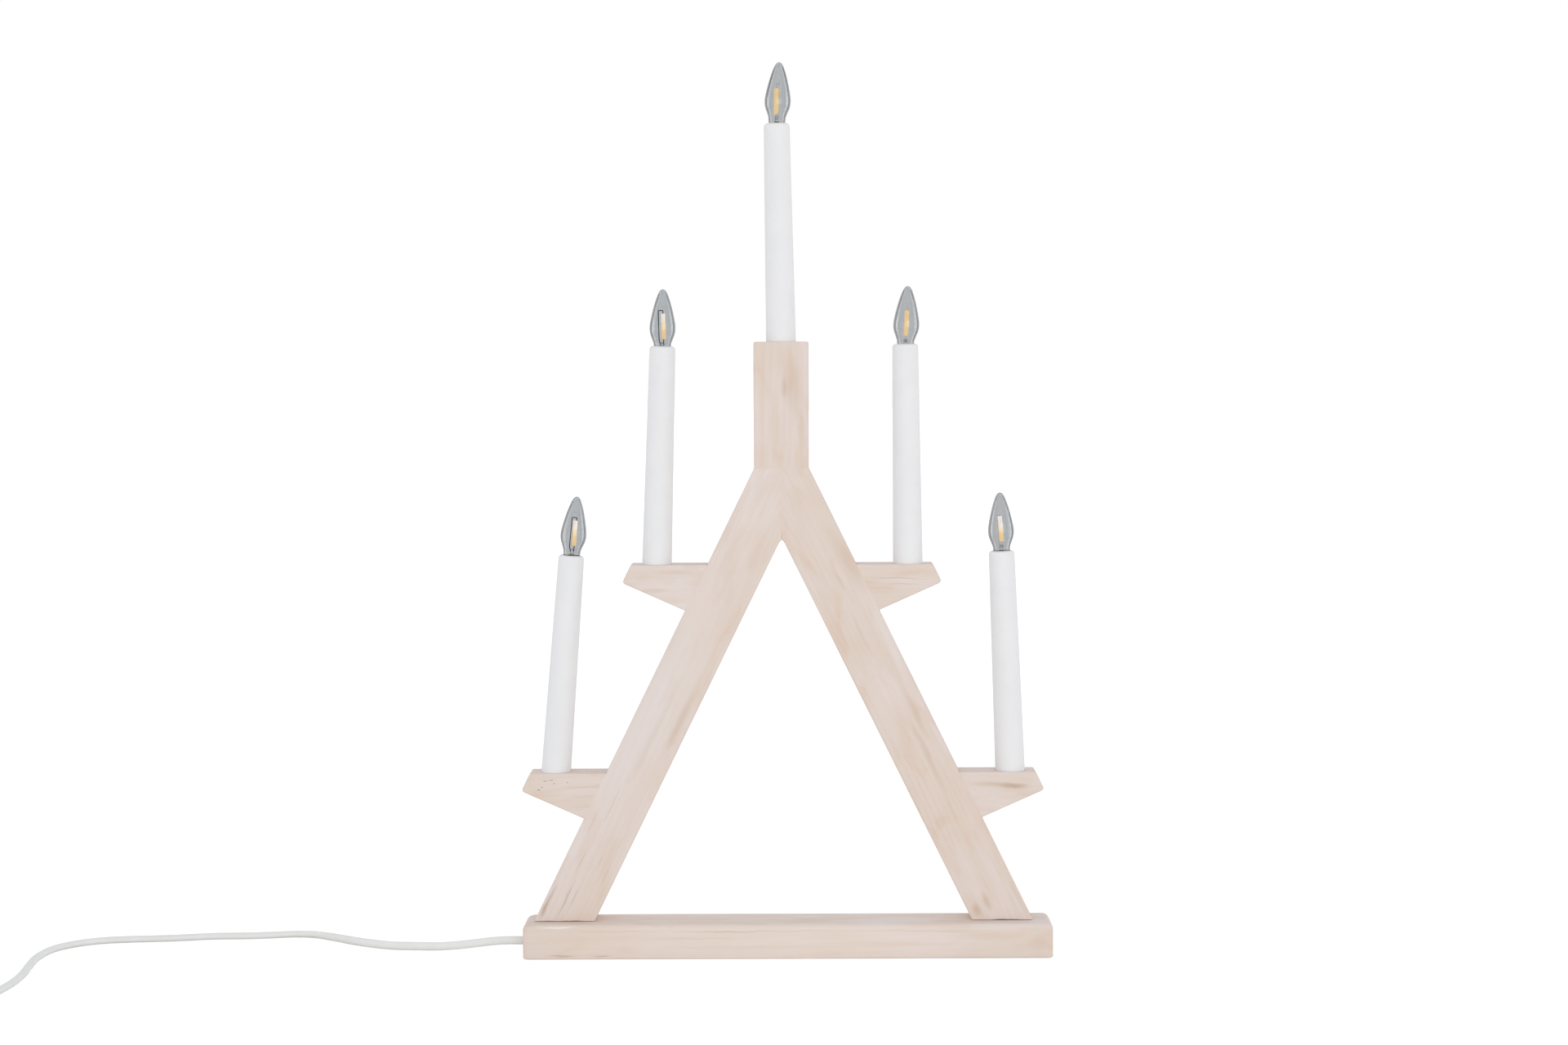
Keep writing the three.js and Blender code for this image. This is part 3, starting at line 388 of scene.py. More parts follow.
def make_plug_body():
    start, half_width, half_thickness = PLUG_STATIONS[0]
    pick()
    bpy.ops.mesh.primitive_plane_add(size=2 * MM, location=(0, 0, start * MM))
    body = bpy.context.object
    body.scale = (half_width, half_thickness, 1)
    bpy.ops.object.transform_apply(location=True, scale=True)
    bpy.ops.object.mode_set(mode="EDIT")
    bpy.ops.mesh.select_all(action="SELECT")
    for before, after in zip(PLUG_STATIONS, PLUG_STATIONS[1:]):
        rise = (0, 0, (after[0] - before[0]) * MM)
        bpy.ops.mesh.extrude_region_move(TRANSFORM_OT_translate={"value": rise})
        wider, thicker = after[1] / before[1], after[2] / before[2]
        bpy.ops.transform.resize(value=(wider, thicker, 1), center_override=(0, 0, 0))
    bpy.ops.object.mode_set(mode="OBJECT")
    close_up(body)
    bevel = body.modifiers.new("long edges", "BEVEL")
    bevel.width = PLUG_ROUNDING * MM
    bevel.segments = 5
    bevel.limit_method = "ANGLE"
    bevel.angle_limit = math.radians(50)
    finish_modifiers(body)
    return body


def make_relief():
    """A ribbed cone that takes the lead's bend."""
    profile = [(2.7, 0), (3.2, 0.4)]
    for rib in range(RIBS):
        low = 1.2 + rib * RIB_PITCH
        high = low + RIB_WIDTH
        radius = 3.3 + rib * 0.16
        inner = radius - GROOVE_DEPTH
        profile += [(radius, low), (radius, high), (inner, high + 0.3), (inner, high + 0.9)]
    return turned("relief", profile + [(4.2, 13.9), (4.2, 16)], 32)


plug_body = join_pieces("plug", make_relief(), make_plug_body())
smooth(plug_body, 40)
along_plug(plug_body)
print("plug: %.1f mm wide" % (plug_body.dimensions.x / MM))

# %% Plug pins
PIN_RADIUS, PIN_ROUNDING = 2, 0.8
PIN_LOW, PIN_SHOULDER, PIN_TIP = 50.2, 67.9, 69.1
SLEEVE_HIGH = 60
# a sleeve is this much wider than its pin
SLEEVE_SCALE = 1.015
PIN_SPREAD = 9.3


def make_pin(name, side):
    rounded = arc((PIN_RADIUS - PIN_ROUNDING, PIN_SHOULDER), PIN_ROUNDING, 0, 90, 4)
    shaft = [(PIN_RADIUS, PIN_LOW), (PIN_RADIUS, PIN_LOW + 0.1), (PIN_RADIUS, PIN_SHOULDER)]
    pin = turned(name, [*shaft, *rounded[1:], (0, PIN_TIP)], 32)
    sleeve = turned("sleeve", [
        (PIN_RADIUS - 0.1, PIN_LOW), (PIN_RADIUS, PIN_LOW), (PIN_RADIUS, SLEEVE_HIGH - 0.4),
        (PIN_RADIUS - 0.1, SLEEVE_HIGH),
    ], 32)
    sleeve.scale = (SLEEVE_SCALE, SLEEVE_SCALE, 1)
    pin = join_pieces(name, sleeve, pin)
    smooth(pin, 40)
    return along_plug(apply_place(pin, move(side * PIN_SPREAD, 0, 0)))


plug_pins = [make_pin("plug_pin_near", -1), make_pin("plug_pin_far", 1)]
print("pins: %.1f mm apart" % (2 * PIN_SPREAD))

# %% [markdown]
# ## The base board
#
# The base is a planed board. Its top edges are rounded over by 3.5 mm, its corners a little more,
# and its lower edges are only broken. We start from a block, bevel those three groups of edges in
# turn, and cut the channel for the wires, the cover's rebate and the holes with booleans, as a
# router would.


# %% Helpers for boards
def bevel_edges(piece, wanted, width, segments):
    """Rounds the edges whose two ends satisfy wanted."""
    pick(piece)
    bpy.ops.object.mode_set(mode="EDIT")
    bpy.ops.mesh.select_mode(type="EDGE")
    bpy.ops.mesh.select_all(action="DESELECT")
    bpy.ops.object.mode_set(mode="OBJECT")
    for edge in piece.data.edges:
        a, b = (piece.data.vertices[i].co for i in edge.vertices)
        edge.select = wanted(a, b)
    bpy.ops.object.mode_set(mode="EDIT")
    bpy.ops.mesh.bevel(offset=width * MM, segments=segments, profile=0.5)
    bpy.ops.mesh.select_mode(type="VERT")
    bpy.ops.object.mode_set(mode="OBJECT")


def upright(a, b):
    return abs(a.z - b.z) > 1e-5


def upright_at(x, y):
    """The upright edge nearest to a corner, given in millimetres."""
    return lambda a, b: upright(a, b) and (Vector(a.xy) - Vector((x, y)) * MM).length < 0.001


def at_height(height):
    return lambda a, b: abs(a.z - height * MM) < 1e-5 and abs(b.z - height * MM) < 1e-5


def block(name, low, high):
    """A box between two corners in millimetres."""
    low, high = Vector(low) * MM, Vector(high) * MM
    pick()
    bpy.ops.mesh.primitive_cube_add(size=1, location=(low + high) / 2)
    piece = bpy.context.object
    piece.name = name
    piece.scale = high - low
    bpy.ops.object.transform_apply(location=True, rotation=True, scale=True)
    return piece


def cut(piece, cutter):
    boolean = piece.modifiers.new("cut", "BOOLEAN")
    boolean.operation = "DIFFERENCE"
    boolean.solver = "EXACT"
    boolean.object = cutter
    finish_modifiers(piece)
    bpy.data.objects.remove(cutter)


# %% Base board
BASE_LENGTH, BASE_DEPTH, BASE_HEIGHT = 320, 36, 21
# end, side and radius of each upright corner, which are rounder at the back
CORNERS = [(-1, -1, 3.5), (1, -1, 3.5), (-1, 1, 6.5), (1, 1, 5)]
TOP_ROUNDING, BOTTOM_ROUNDING = 3.5, 1
# half length, half width and ceiling of the cover's rebate and of the channel above it
COVER_REBATE = (153, 13, 2.9)
CHANNEL = (150, 10, 10.9)
CHANNEL_MIDDLE = 3.6
SLOT_CORNER = 4
LEAD_EXIT = (-160, 0, 8.1)
# profiles are radius and height; the lead's hole is drilled from just outside the base's end
LEAD_HOLE = [(2.8, -1), (2.8, 11)]
# the holes up into the legs, for wires and screws
WIRE_HOLES_X, WIRE_HOLES_Y = (-135.49, 130.09), 10.6
WIRE_HOLE = [(2.5, 10), (2.5, 22)]
SCREW_HOLES_X, SCREW_HOLES_Y = (-130.7, 125.3), 0.6
SCREW_HOLE = [(4.3, 10), (4.3, 11.5), (2.3, 13.9), (2.3, 22)]


def routed_slot(half_length, half_width, high):
    slot = block(
        "slot",
        (-half_length, CHANNEL_MIDDLE - half_width, -1),
        (half_length, CHANNEL_MIDDLE + half_width, high),
    )
    bevel_edges(slot, upright, SLOT_CORNER, 8)
    return slot


def make_base():
    x, y = BASE_LENGTH / 2, BASE_DEPTH / 2
    base = block("base_board", (-x, -y, 0), (x, y, BASE_HEIGHT))
    for end, side, radius in CORNERS:
        bevel_edges(base, upright_at(end * x, side * y), radius, 8)
    bevel_edges(base, at_height(BASE_HEIGHT), TOP_ROUNDING, 8)
    bevel_edges(base, at_height(0), BOTTOM_ROUNDING, 4)
    cut(base, routed_slot(*COVER_REBATE))
    cut(base, routed_slot(*CHANNEL))
    cut(base, apply_place(turned("lead_hole", LEAD_HOLE, 48), move(*LEAD_EXIT) @ turn(90)))
    for x in WIRE_HOLES_X:
        cut(base, apply_place(turned("wire_hole", WIRE_HOLE, 32), move(x, WIRE_HOLES_Y, 0)))
    for x in SCREW_HOLES_X:
        cut(base, apply_place(turned("screw_hole", SCREW_HOLE, 32), move(x, SCREW_HOLES_Y, 0)))
    smooth(base)
    return base


base_board = make_base()
print("base board:", len(base_board.data.polygons), "faces")

# %% [markdown]
# ## Where the candles stand
#
# No two candles stand quite alike: each tube leans a little and sits at its own depth, and each
# bulb was stopped at its own angle. These values come from the photograph and repeat those of the
# CAD model.

# %% Candle places
# name: wood's height, axis on the wood, lean, sink of the tube | bulb pressed in, tilt and turn
CANDLES = {
    "lower_left": (111.4, -140.44, 4.55, 2.4, 1.1, 1.3, 0),
    "upper_left": (237.5, -78.28, 1.85, 2.9, 2.6, -1, 12),
    "top": (371.4, -2.7, -0.9, 3.9, 0.4, 3.4, -121),
    "upper_right": (237.5, 73.43, -0.6, 2.1, 2.1, 3, -92),
    "lower_right": (111.4, 135.34, -2.25, 0.9, 1.6, 0.4, -56),
}
CANDLE_Y = 3.6
TUBE_LENGTH = 134.4
# a bulb tilts about the top of its cap, at this height over the tube's rim
CAP_TOP = -1


def tube_place(name):
    """Where a tube's foot is, with its axis along Z."""
    height, x, lean, sink = CANDLES[name][:4]
    return move(x, CANDLE_Y, height) @ turn(lean) @ move(0, 0, -sink)


def cap_place(name):
    """Where the tube's rim would be if the bulb were right out, less how far it is pressed in."""
    return tube_place(name) @ move(0, 0, TUBE_LENGTH - CANDLES[name][4])


def glass_place(name, askew=0):
    """Where the glass is, or with askew what is in it and doesn't stand quite upright."""
    tilt, spin = CANDLES[name][5:]
    tilted = turn(tilt + askew) @ turn(spin, "Z")
    return cap_place(name) @ move(0, 0, CAP_TOP) @ tilted @ move(0, 0, -CAP_TOP)


def one_each(part, model, place):
    """A copy of the model for each candle, in its place. The model itself goes."""
    made = {}
    for name in CANDLES:
        made[name] = apply_place(copy_of(model, "%s_%s" % (name, part)), place(name))
    bpy.data.objects.remove(model)
    print("%s: %d of %d faces" % (part, len(made), len(made["top"].data.polygons)))
    return made


# %% [markdown]
# ## Glue lines
#
# The frame's joints are glued and sanded flush, so that they hardly show. White wood glue fills the
# tenth of a millimetre between the boards. Each glue line is a thin plate that ends just under the
# front face.

# %% Glue lines
FRAME_MIDDLE = -2.7
SEAT_HEIGHT = 295.3
SEAT_HALF_WIDTH = 16.5
LEG_LEAN = 26.15
ARM_HEIGHTS = {"lower": 111.4, "upper": 237.5}
ARM_ROOT = 27.6
GLUE = 0.1
GLUE_FROM, GLUE_TO = -6.87, -3.2
MITRE_LOW = 256.5


def glue_plate(name, x, z, length, lean):
    """A plate through this point of the front view, lean degrees from upright towards +X."""
    thickness = GLUE * math.cos(math.radians(lean)) if abs(lean) < 45 else GLUE
    plate = block(
        name, (-thickness / 2, GLUE_FROM, -length / 2), (thickness / 2, GLUE_TO, length / 2)
    )
    return apply_place(plate, move(x, 0, z) @ turn(lean))


def make_glue_lines():
    """Pairs: the board whose finish the plate takes, and the plate."""
    slope = math.tan(math.radians(LEG_LEAN))
    mitre_middle = (MITRE_LOW + SEAT_HEIGHT) / 2
    lines = [
        ("left_leg", "glue_mitre", FRAME_MIDDLE, mitre_middle, SEAT_HEIGHT - MITRE_LOW, 0),
        ("post", "glue_post", FRAME_MIDDLE, SEAT_HEIGHT + GLUE / 2, 2 * SEAT_HALF_WIDTH - 1, 90),
    ]
    for level, height in ARM_HEIGHTS.items():
        for hand, side in (("left", -1), ("right", 1)):
            middle = height - ARM_ROOT / 2
            x = FRAME_MIDDLE + side * (SEAT_HALF_WIDTH + (SEAT_HEIGHT - middle) * slope + GLUE)
            length = (ARM_ROOT - 0.8) / math.cos(math.radians(LEG_LEAN))
            name = "glue_%s_%s_arm" % (level, hand)
            lines.append(("%s_leg" % hand, name, x, middle, length, -side * LEG_LEAN))
    return [(board, glue_plate(*measures)) for board, *measures in lines]


glue_lines = make_glue_lines()
print("glue lines:", len(glue_lines))

# %% [markdown]
# ## Candle tubes
#
# Each candle is an injection-moulded tube in matt white plastic. It tapers a little, ends in a
# rounded rim that turns inwards, and has a spigot that is pressed into the wood. One is turned, and
# the others are copies with their own mesh.

# %% Candle tubes
TUBE_FOOT_RADIUS = 9
TUBE_TAPER = 1.25
RIM_ROUNDING = 2
SPIGOT_RADIUS, SPIGOT_BORE, SPIGOT_LOW = 5, 3.9, -8
MOUTH_RADIUS = 5.35


def make_tube():
    top = TUBE_LENGTH
    foot = [
        (SPIGOT_RADIUS, SPIGOT_LOW), (SPIGOT_RADIUS, -0.02), (TUBE_FOOT_RADIUS - 0.2, 0),
        (TUBE_FOOT_RADIUS, 0.2),
    ]
    sides = [(TUBE_FOOT_RADIUS - TUBE_TAPER * share, top * share) for share in (0.25, 0.5, 0.75)]
    rim_centre = (TUBE_FOOT_RADIUS - TUBE_TAPER - RIM_ROUNDING, top - RIM_ROUNDING)
    rim = arc(rim_centre, RIM_ROUNDING, 0, 90, 10)
    mouth = [(5.62, top - 0.06), (5.44, top - 0.25), (MOUTH_RADIUS, top - 0.6)]
    inside = [(MOUTH_RADIUS, top - 1.5), (6.25, top - 1.6), (7.5, 1.5)]
    bore = [(SPIGOT_BORE, 1.5), (SPIGOT_BORE, SPIGOT_LOW), (SPIGOT_RADIUS, SPIGOT_LOW)]
    tube = turned("tube", [*foot, *sides, *rim, *mouth, *inside, *bore], 96, filled=False)
    smooth(tube)
    return tube


tubes = one_each("tube", make_tube(), tube_place)

# %% [markdown]
# ## Bulb glass
#
# The glass is blown clear in a flame shape with a small pip at its tip. The outline is turned as
# one thin surface, whose faces must point outwards before Solidify gives it its wall. The wall is
# as thick as the dark outline in the photograph is wide, since there the light runs along inside
# the glass.

# %% Bulb glass
GLASS_OUTLINE = [
    (4, -4), (4, -1.6), (4.5, -0.3), (5.05, 1.4), (5.3, 4.2), (6.35, 7.1), (7.4, 10), (7.8, 13),
    (7.55, 16.5), (6.35, 22.5), (4.65, 29), (2.65, 34.4), (1.2, 36.3), (0.55, 36.62), (0, 36.7),
]
GLASS_STEP = 0.9
GLASS_WALL = 0.9


def make_glass():
    fine = smooth_route([(radius, height, 0) for radius, height in GLASS_OUTLINE], GLASS_STEP)
    profile = [(max(point.x, 0), point.y) for point in fine[:-1]]
    glass = turned("glass", [*profile, GLASS_OUTLINE[-1]], 72, filled=False)
    wall = glass.modifiers.new("wall", "SOLIDIFY")
    wall.thickness = GLASS_WALL * MM
    wall.offset = -1
    finish_modifiers(glass)
    smooth(glass, 60)
    return glass


glasses = one_each("glass", make_glass(), glass_place)

# %% [markdown]
# ## Inside the bulb
#
# A pinched glass stem carries two wires. One holds the foot of the LED filament, a thin rod coated
# with phosphor. The other is bent into a tall hook that holds the rod's top. The wires are curves
# with a round section, made meshes and joined.

# %% Inside the bulb
STEM_PROFILE = [
    (3, -4), (2.98, -2), (2.96, -1.4), (2.1, 0), (1.4, 1.3), (1.1, 2.2), (1.3, 2.9), (1.5, 3.6),
    (1.4, 4.3), (0.9, 4.9), (0, 5.1),
]
ROD_RADIUS = 1.3
ROD_X = 1.1
ROD_LOW, ROD_HIGH = 6.4, 21.6
ROD_STEPS = 16
TIP_ROUNDING = 0.35
WIRE_RADIUS = 0.3
LEAD_WIRE = [(0.6, 3.5), (ROD_X, 5), (ROD_X, ROD_LOW + 1.6)]
HOOK_WIRE = [
    (-0.6, 3.5), (-1.5, 5.2), (-1.75, 7), (-1.75, 15), (-1.75, 22.4), (-1.75, 23.9), (-1.3, 24),
    (-0.6, 24), (ROD_X - 0.3, 24), (ROD_X, 23.8), (ROD_X, 23.1), (ROD_X, ROD_HIGH - 1.2),
]
# how each bulb's inside stands: how far its wires and its rod are askew in degrees, how much higher
# the rod is held in millimetres, and how far up it the painted highlight turns the coat pale (past
# 1 it stays amber)
INSIDES = {
    "lower_left": (0, -1.8, 0.6, 0.64),
    "upper_left": (-2.2, -2.2, 0.5, 0.62),
    "top": (-1, -1, -0.5, 1.3),
    "upper_right": (0, 0.4, 0.5, 1.3),
    "lower_right": (-1.6, -2.8, 0.9, 0.5),
}


def bent_wire(name, points):
    """A round wire through (x, z) points, with soft corners."""
    return piece_along(
        name, [(x, 0, z) for x, z in points], bevel_depth=WIRE_RADIUS * MM, bevel_resolution=3,
        use_fill_caps=True, resolution_u=8,
    )


def make_rod():
    tip = arc((ROD_RADIUS - TIP_ROUNDING, ROD_HIGH - TIP_ROUNDING), TIP_ROUNDING, 0, 90, 3)
    length = ROD_HIGH - ROD_LOW
    sides = [(ROD_RADIUS, ROD_LOW + length * k / ROD_STEPS) for k in range(1, ROD_STEPS)]
    foot = [(ROD_RADIUS - 0.3, ROD_LOW), (ROD_RADIUS, ROD_LOW + 0.3)]
    rod = turned("rod", [*foot, *sides, *tip, (0, ROD_HIGH)], 24)
    rod.data.attributes.new("along_rod", "FLOAT", "POINT")
    return apply_place(rod, move(ROD_X, 0, 0))


def mark_painted_highlight(rod, highlight_from):
    """Writes how far up the rod each point is, counted from where the painted highlight turns its
    coat pale.
    """
    for vertex, share in zip(rod.data.vertices, rod.data.attributes["along_rod"].data):
        share.value = (vertex.co.z / MM - ROD_LOW) / (ROD_HIGH - ROD_LOW) - highlight_from + 0.5


def make_insides():
    stem = turned("stem", STEM_PROFILE, 32)
    lead = bent_wire("lead", LEAD_WIRE)
    hook = bent_wire("hook", HOOK_WIRE)
    rod = make_rod()
    for piece in (stem, lead, hook, rod):
        smooth(piece, 40)
    return {"stem": stem, "wires": join_pieces("wires", lead, hook), "rod": rod}


insides = make_insides()
print("filament rod: %.1f mm" % (ROD_HIGH - ROD_LOW))

# %% [markdown]
# ## Screw caps
#
# Each bulb has a small brass cap with a rolled round thread, 9.5 mm across with 14 turns to the
# inch. One pitch of the wave is drawn and the Screw modifier winds it up. Two flat cuts then end
# the thread.

# %% Screw caps
THREAD_PITCH = 1.814
CAP_RADIUS = 4.75
THREAD_DEPTH = 0.42
THREAD_LOW, THREAD_HIGH = -11.6, -2.9
WAVE_STEPS, TURN_STEPS = 8, 48
COLLAR_PROFILE = [
    (4.3, -1.1), (4.5, -1), (4.75, -1.15), (4.75, -2.6), (4.45, -3), (4.05, -3), (4.05, -1.1),
    (4.3, -1.1),
]
FOOT_PROFILE = [
    (4.3, -11.2), (4.25, -11.8), (3.1, -12.5), (1.9, -12.9), (1.6, -13.4), (1.45, -14),
    (0.9, -14.2), (0, -14.2),
]


def make_thread():
    start = THREAD_LOW - 1.5 * THREAD_PITCH
    wave = []
    for k in range(WAVE_STEPS + 1):
        dip = THREAD_DEPTH / 2 * (1 - math.cos(2 * math.pi * k / WAVE_STEPS))
        wave.append(((CAP_RADIUS - dip) * MM, 0, (start + THREAD_PITCH * k / WAVE_STEPS) * MM))
    mesh = bpy.data.meshes.new("thread")
    mesh.from_pydata(wave, [(k, k + 1) for k in range(WAVE_STEPS)], [])
    thread = put_in_scene("thread", mesh)
    screw = thread.modifiers.new("screw", "SCREW")
    screw.screw_offset = THREAD_PITCH * MM
    screw.iterations = math.ceil((THREAD_HIGH - THREAD_LOW) / THREAD_PITCH) + 2
    screw.steps = TURN_STEPS
    screw.render_steps = TURN_STEPS
    screw.use_merge_vertices = True
    screw.merge_threshold = 1e-6
    finish_modifiers(thread)
    close_up(thread)
    for height, upwards in ((THREAD_LOW, False), (THREAD_HIGH, True)):
        pick(thread)
        bpy.ops.object.mode_set(mode="EDIT")
        bpy.ops.mesh.select_all(action="SELECT")
        bpy.ops.mesh.bisect(
            plane_co=(0, 0, height * MM), plane_no=(0, 0, 1), use_fill=True,
            clear_inner=not upwards, clear_outer=upwards,
        )
        bpy.ops.object.mode_set(mode="OBJECT")
    close_up(thread)
    return thread


def make_cap():
    collar = turned("collar", COLLAR_PROFILE, filled=False)
    foot = turned("foot", FOOT_PROFILE)
    cap = join_pieces("cap", collar, foot, make_thread())
    smooth(cap, 40)
    return cap


caps = one_each("cap", make_cap(), cap_place)

# %% [markdown]
# ## Materials
#
# Colours are written as sRGB hex, as a picture shows them, and one function turns them to linear. A
# second function adds a node with its settings and its links.


# %% Helpers for materials
def colour(hex_code):
    """sRGB hex to linear RGBA."""
    shares = [int(hex_code[i:i + 2], 16) / 255 for i in (1, 3, 5)]
    return (*[s / 12.92 if s <= 0.04045 else ((s + 0.055) / 1.055) ** 2.4 for s in shares], 1)


def link(tree, source, socket):
    """The source is a socket, or a node whose first output in use is meant."""
    if isinstance(source, bpy.types.Node):
        source = next(output for output in source.outputs if output.enabled)
    tree.links.new(source, socket)


def add(tree, kind, settings=None, links=None, stops=(), **fields):
    """Adds a node: fields are its own properties, settings and links are for its sockets, and stops
    are a colour ramp's positions, each with a hex colour or a level of grey."""
    node = tree.nodes.new(kind)
    for field, value in fields.items():
        setattr(node, field, value)
    for socket, value in (settings or {}).items():
        node.inputs[socket].default_value = value
    for socket, source in (links or {}).items():
        link(tree, source, node.inputs[socket])
    if stops:
        elements = node.color_ramp.elements
        while len(elements) < len(stops):
            elements.new(0.5)
        for element, (position, shade) in zip(elements, stops):
            element.position = position
            element.color = colour(shade) if isinstance(shade, str) else (shade, shade, shade, 1)
    return node


def material(name, settings):
    """A new material with its surface shader's settings; returns it, its tree and the shader."""
    made = bpy.data.materials.new(name)
    made.use_nodes = True
    tree = made.node_tree
    shader = tree.nodes["Principled BSDF"]
    for socket, value in settings.items():
        shader.inputs[socket].default_value = value
    return made, tree, shader


# for the Mix node: plain mixing of two colours, and one colour times the other
BLEND = {"data_type": "RGBA"}
TIMES = {"data_type": "RGBA", "blend_type": "MULTIPLY"}

# %% [markdown]
# ### Whitewashed pine
#
# Pine, planed and wiped with a thin white stain. The stain leaves the rings hardly visible. What
# shows is how it took: broad soft streaks, pinkish where it is thick and amber where it is thin, 8
# to 20 mm wide and a hand long. Each board has its own grain direction and its own piece of the
# pattern. On top of it come the few marks of the photograph, each a soft ellipse that is drawn out
# along the grain.
# Some marks are painted light: a highlight and a pale wash on the base, and shade under each foot.

# %% Streaks and marks
MARK_DEPTH = 8


def streaks(tree, place, across_mm, along_mm, detail, distortion=0.0):
    """Noise drawn out along the board: its streaks' width and length in millimetres."""
    across, along = 1 / (across_mm * MM), 1 / (along_mm * MM)
    laid = add(tree, "ShaderNodeMapping", {"Scale": (across, across, along)}, {"Vector": place})
    settings = {"Scale": 1.0, "Detail": detail, "Distortion": distortion}
    return add(tree, "ShaderNodeTexNoise", settings, {"Vector": laid})


def marked(tree, base, place, lean, front, marks):
    """Lays soft marks over a board. Each one: x, z, length, width in millimetres, colour, strength,
    and its own lean where it doesn't follow the grain."""
    for x, z, length, width, hex_code, strength, *own_lean in marks:
        around = {
            "Location": (x * MM, front * MM, z * MM),
            "Rotation": (0, math.radians(*(own_lean or [lean])), 0),
            "Scale": (width / 2 * MM, MARK_DEPTH * MM, length / 2 * MM),
        }
        local = add(tree, "ShaderNodeMapping", around, {"Vector": place}, vector_type="TEXTURE")
        spot = add(
            tree, "ShaderNodeTexGradient", links={"Vector": local}, gradient_type="SPHERICAL"
        ).outputs["Fac"]
        share = add(
            tree, "ShaderNodeMapRange", {"From Max": 0.9, "To Max": strength}, {"Value": spot},
            interpolation_type="SMOOTHSTEP",
        )
        base = add(
            tree, "ShaderNodeMix", {"B": colour(hex_code)}, {"Factor": share, "A": base}, **BLEND
        )
    return base


# %% Whitewashed pine
RING_SPACING = 3.6
# how far the rings slant through a board's depth, and how far they wander along it, in metres
RING_SLANT = 0.55
RING_WANDER = 0.055
# how far the marks' outlines are pulled about, in metres
PULL = 0.0028
# what each pattern of the grain is coloured by: positions and colours of its ramp
STAIN = [(0.34, "#dfcec2"), (0.47, "#e0d1c7"), (0.58, "#e2d4cd"), (0.7, "#e3d7d2")]
AMBER_TOUCHES = [(0.34, "#fcf7f2"), (0.52, "#ffffff"), (0.7, "#ffffff")]
RING_TONE = [
    (0.0, "#ffffff"), (0.5, "#fffefe"), (0.85, "#fcfaf8"), (0.94, "#fdfbfa"), (1.0, "#ffffff"),
]
RINGS_SHOWN = [(0.4, "#000000"), (0.62, "#ffffff")]
FIBRE_TONE = [(0.3, "#fdfbfa"), (0.6, "#ffffff")]


def pine(name, lean, seed, front, marks=()):
    """lean: degrees from upright towards +X that the board's grain runs; seed: which part of a
    tree; front: where its front face is, in millimetres."""
    made, tree, shader = material(name, {"Roughness": 0.56, "IOR": 1.45})
    place = add(tree, "ShaderNodeTexCoord").outputs["Object"]
    upright_grain = {"Rotation": (0, math.radians(-lean), 0)}
    board = add(tree, "ShaderNodeMapping", upright_grain, {"Vector": place})
    moved = add(
        tree, "ShaderNodeVectorMath", {1: (0.37 * seed, 0.11 * seed, 0.73 * seed)}, {0: board},
        operation="ADD",
    )
    broad = streaks(tree, moved, 24, 70, 2.0, 0.6)
    took = add(tree, "ShaderNodeValToRGB", links={"Fac": broad}, stops=STAIN)
    # shorter and narrower touches of amber within them
    short = streaks(tree, moved, 9, 34, 2.0, 0.8)
    touches = add(tree, "ShaderNodeValToRGB", links={"Fac": short}, stops=AMBER_TOUCHES)
    base = add(tree, "ShaderNodeMix", {"Factor": 1.0}, {"A": took, "B": touches}, **TIMES)
    # growth rings, 3 to 4 mm apart, which wander a few millimetres over the length of a board
    wander = streaks(tree, moved, 110, 420, 2.0)
    across = add(tree, "ShaderNodeSeparateXYZ", links={"Vector": moved}).outputs
    slanted = add(
        tree, "ShaderNodeMath", {1: RING_SLANT}, {0: across["Y"], 2: across["X"]},
        operation="MULTIPLY_ADD",
    )
    bent = add(
        tree, "ShaderNodeMath", {1: RING_WANDER}, {0: wander, 2: slanted}, operation="MULTIPLY_ADD"
    )
    rings = add(
        tree, "ShaderNodeMath", {1: 1 / (RING_SPACING * MM)}, {0: bent}, operation="MULTIPLY"
    )
    ring = add(tree, "ShaderNodeMath", links={0: rings}, operation="FRACT")
    ring_tone = add(tree, "ShaderNodeValToRGB", links={"Fac": ring}, stops=RING_TONE)
    ringed = add(tree, "ShaderNodeMix", {"Factor": 1.0}, {"A": base, "B": ring_tone}, **TIMES)
    # the stain hides the rings in some places more than in others
    thick = streaks(tree, moved, 24, 90, 2.0)
    shown = add(tree, "ShaderNodeValToRGB", links={"Fac": thick}, stops=RINGS_SHOWN)
    base = add(tree, "ShaderNodeMix", links={"Factor": shown, "A": base, "B": ringed}, **BLEND)
    # fibres: fine streaks along the grain, about a millimetre wide and 60 mm long
    fibres = streaks(tree, moved, 1.1, 60, 3.0)
    fibre_tone = add(tree, "ShaderNodeValToRGB", links={"Fac": fibres}, stops=FIBRE_TONE)
    base = add(tree, "ShaderNodeMix", {"Factor": 1.0}, {"A": base, "B": fibre_tone}, **TIMES)
    # the marks' outlines are pulled about a little, so that none looks drawn with a compass
    pull = add(
        tree, "ShaderNodeTexNoise", {"Scale": 1 / (14 * MM), "Detail": 3.0}, {"Vector": place}
    ).outputs["Color"]
    pulled = add(
        tree, "ShaderNodeVectorMath", {1: (PULL, PULL, PULL)}, {0: pull, 2: place},
        operation="MULTIPLY_ADD",
    )
    centred = add(
        tree, "ShaderNodeVectorMath", {1: (PULL / 2, PULL / 2, PULL / 2)}, {0: pulled},
        operation="SUBTRACT",
    )
    base = marked(tree, base, centred, lean, front, marks)
    link(tree, base, shader.inputs["Base Color"])
    raised = {"Strength": 0.05, "Distance": 0.1 * MM}
    link(tree, add(tree, "ShaderNodeBump", raised, {"Height": fibres}), shader.inputs["Normal"])
    return made


